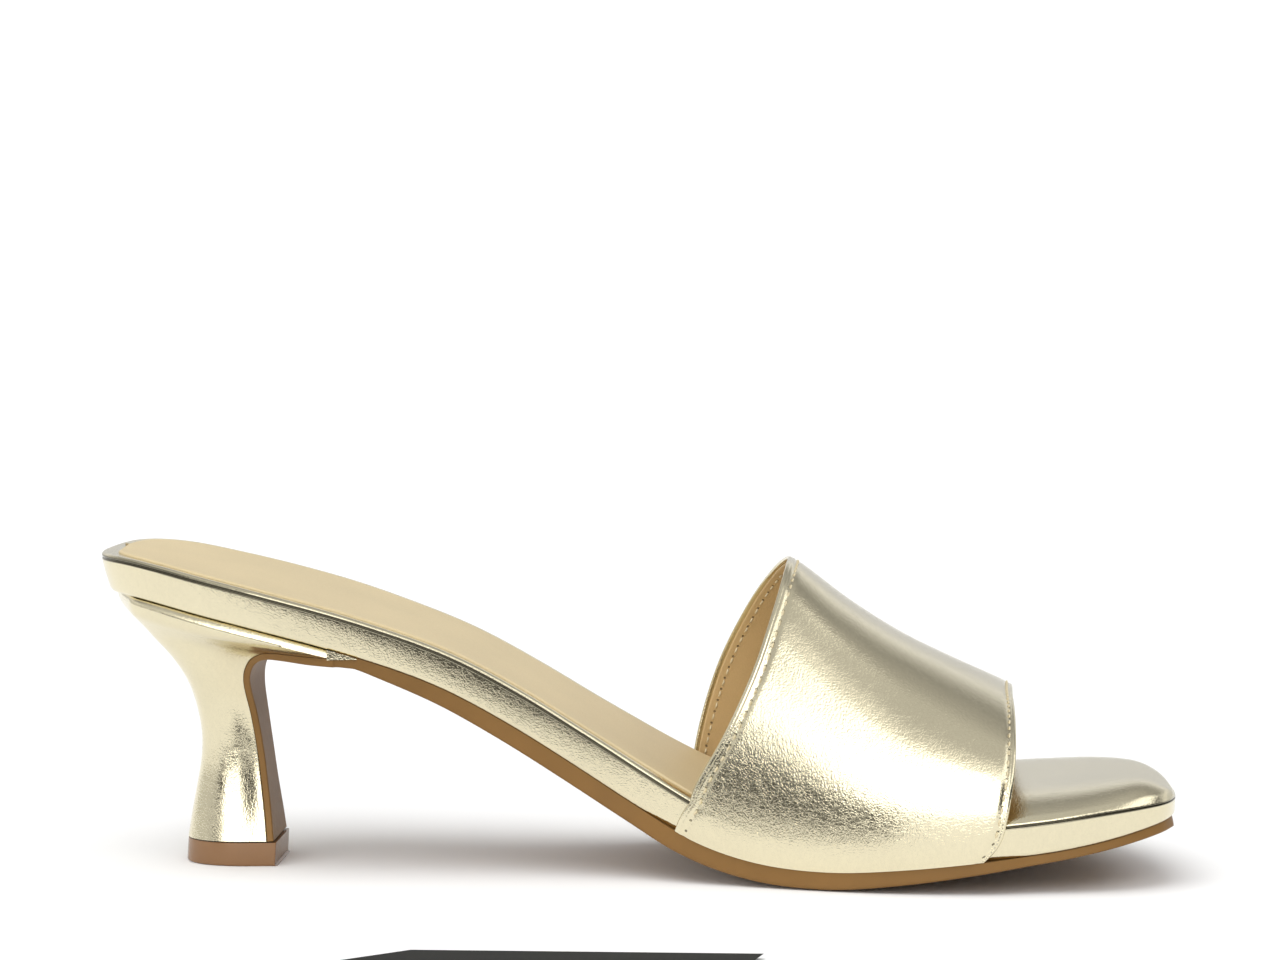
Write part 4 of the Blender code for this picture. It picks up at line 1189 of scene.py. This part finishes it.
# The studio, as brightness against the sine of the height above the horizon. In front hangs a softbox
# from the horizon up, whose upper edge comes down towards the left; the rest is pale with a dim ceiling
FRONT = ((0.0, 0.90), (0.64, 0.90), (0.74, 0.32), (0.86, 0.19), (1.0, 0.20))
BEHIND = ((0.0, 0.21), (0.18, 0.22), (0.30, 0.31), (0.44, 0.19),
          (0.64, 0.11), (0.80, 0.14), (1.0, 0.20))
RIGHT = ((0.0, 0.03), (0.48, 0.05), (0.62, 0.55), (0.75, 0.50), (0.9, 0.20), (1.0, 0.20))
LEFT = ((0.0, 0.0), (0.10, 0.02), (0.20, 0.40), (0.28, 0.32), (0.5, 0.19), (1.0, 0.20))
BOX_SLANT = 5.5  # fall of the softbox's upper edge, per whole turn to the left
STUDIO_STRENGTH = 3.2


def studio_light():
    """The world's brightness by direction, and a wide soft sun that lights the floor but shows in no sheen."""
    world = bpy.data.worlds.new("studio")
    bpy.context.scene.world = world
    world.use_nodes = True
    tree = world.node_tree
    sky = tree.nodes["Background"]
    way = node(tree, "ShaderNodeSeparateXYZ", {0: node(tree, "ShaderNodeTexCoord").outputs["Generated"]})
    x, y, z = way.outputs
    round_way = math(tree, "ARCTAN2", x, math(tree, "MULTIPLY", y, -1.0))
    turn = math(tree, "DIVIDE", round_way, 2 * np.pi)
    left = math(tree, "MINIMUM", turn, 0.0)
    high = math(tree, "SUBTRACT", z, math(tree, "MULTIPLY", left, BOX_SLANT), clamp=True)
    turn = math(tree, "ADD", turn, 0.5)  # 0.5 looks to the camera, more is to its right
    near = ramp(tree, turn, ((0.0, 0.0), (0.28, 0.0), (0.36, 1.0), (0.62, 1.0), (0.70, 0.0), (1.0, 0.0)))
    card = ramp(tree, turn, ((0.0, 0.0), (0.53, 0.0), (0.555, 1.0), (0.80, 1.0), (0.84, 0.0), (1.0, 0.0)))

    def mixed(share, first, second):
        return node(tree, "ShaderNodeMix", {0: share, 6: first, 7: second}, data_type="RGBA").outputs[2]

    wedge = ramp(tree, turn, ((0.0, 0.0), (0.345, 0.0), (0.385, 1.0), (0.41, 1.0), (0.435, 0.0), (1.0, 0.0)))
    front = mixed(wedge, ramp(tree, high, FRONT), ramp(tree, z, LEFT))
    around = mixed(near, ramp(tree, z, BEHIND), front)
    tree.links.new(mixed(card, around, ramp(tree, z, RIGHT)), sky.inputs[0])
    sky.inputs[1].default_value = STUDIO_STRENGTH
    data = bpy.data.lights.new("soft_sun", "SUN")
    data.angle = np.radians(50)
    data.energy = SUN_STRENGTH
    lamp = bpy.data.objects.new("soft_sun", data)
    lamp.rotation_euler = Vector((0.25, 0.30, -1.0)).to_track_quat("-Z", "Y").to_euler()
    lamp.visible_glossy = False
    bpy.context.scene.collection.objects.link(lamp)
    bpy.context.scene.view_settings.view_transform = "Standard"


SUN_STRENGTH = 1.65
# A dark card on the floor, in front to the left and out of the picture: its corners
CARD = ((0.034, -0.112), (-0.035, -0.112), (-0.085, -0.16), (-0.95, -0.72), (-0.85, -1.5), (-0.30, -1.5),
        (-0.055, -0.45), (0.024, -0.165))


def floor_card():
    """The dark card, a little above the floor, that the leather mirrors just under the horizon."""
    mesh = bpy.data.meshes.new("floor_card")
    mesh.from_pydata([(x, y, 0.001) for x, y in CARD[::-1]], [], [tuple(range(len(CARD)))])
    material = bpy.data.materials.new("dark_card")
    material.use_nodes = True
    shader = material.node_tree.nodes["Principled BSDF"]
    shader.inputs["Base Color"].default_value = (0.02, 0.02, 0.018, 1)
    shader.inputs["Roughness"].default_value = 0.9
    mesh.materials.append(material)
    piece = bpy.data.objects.new("floor_card", mesh)
    bpy.context.scene.collection.objects.link(piece)


photo_camera()
floor()
floor_card()
studio_light()
shoe_pieces()
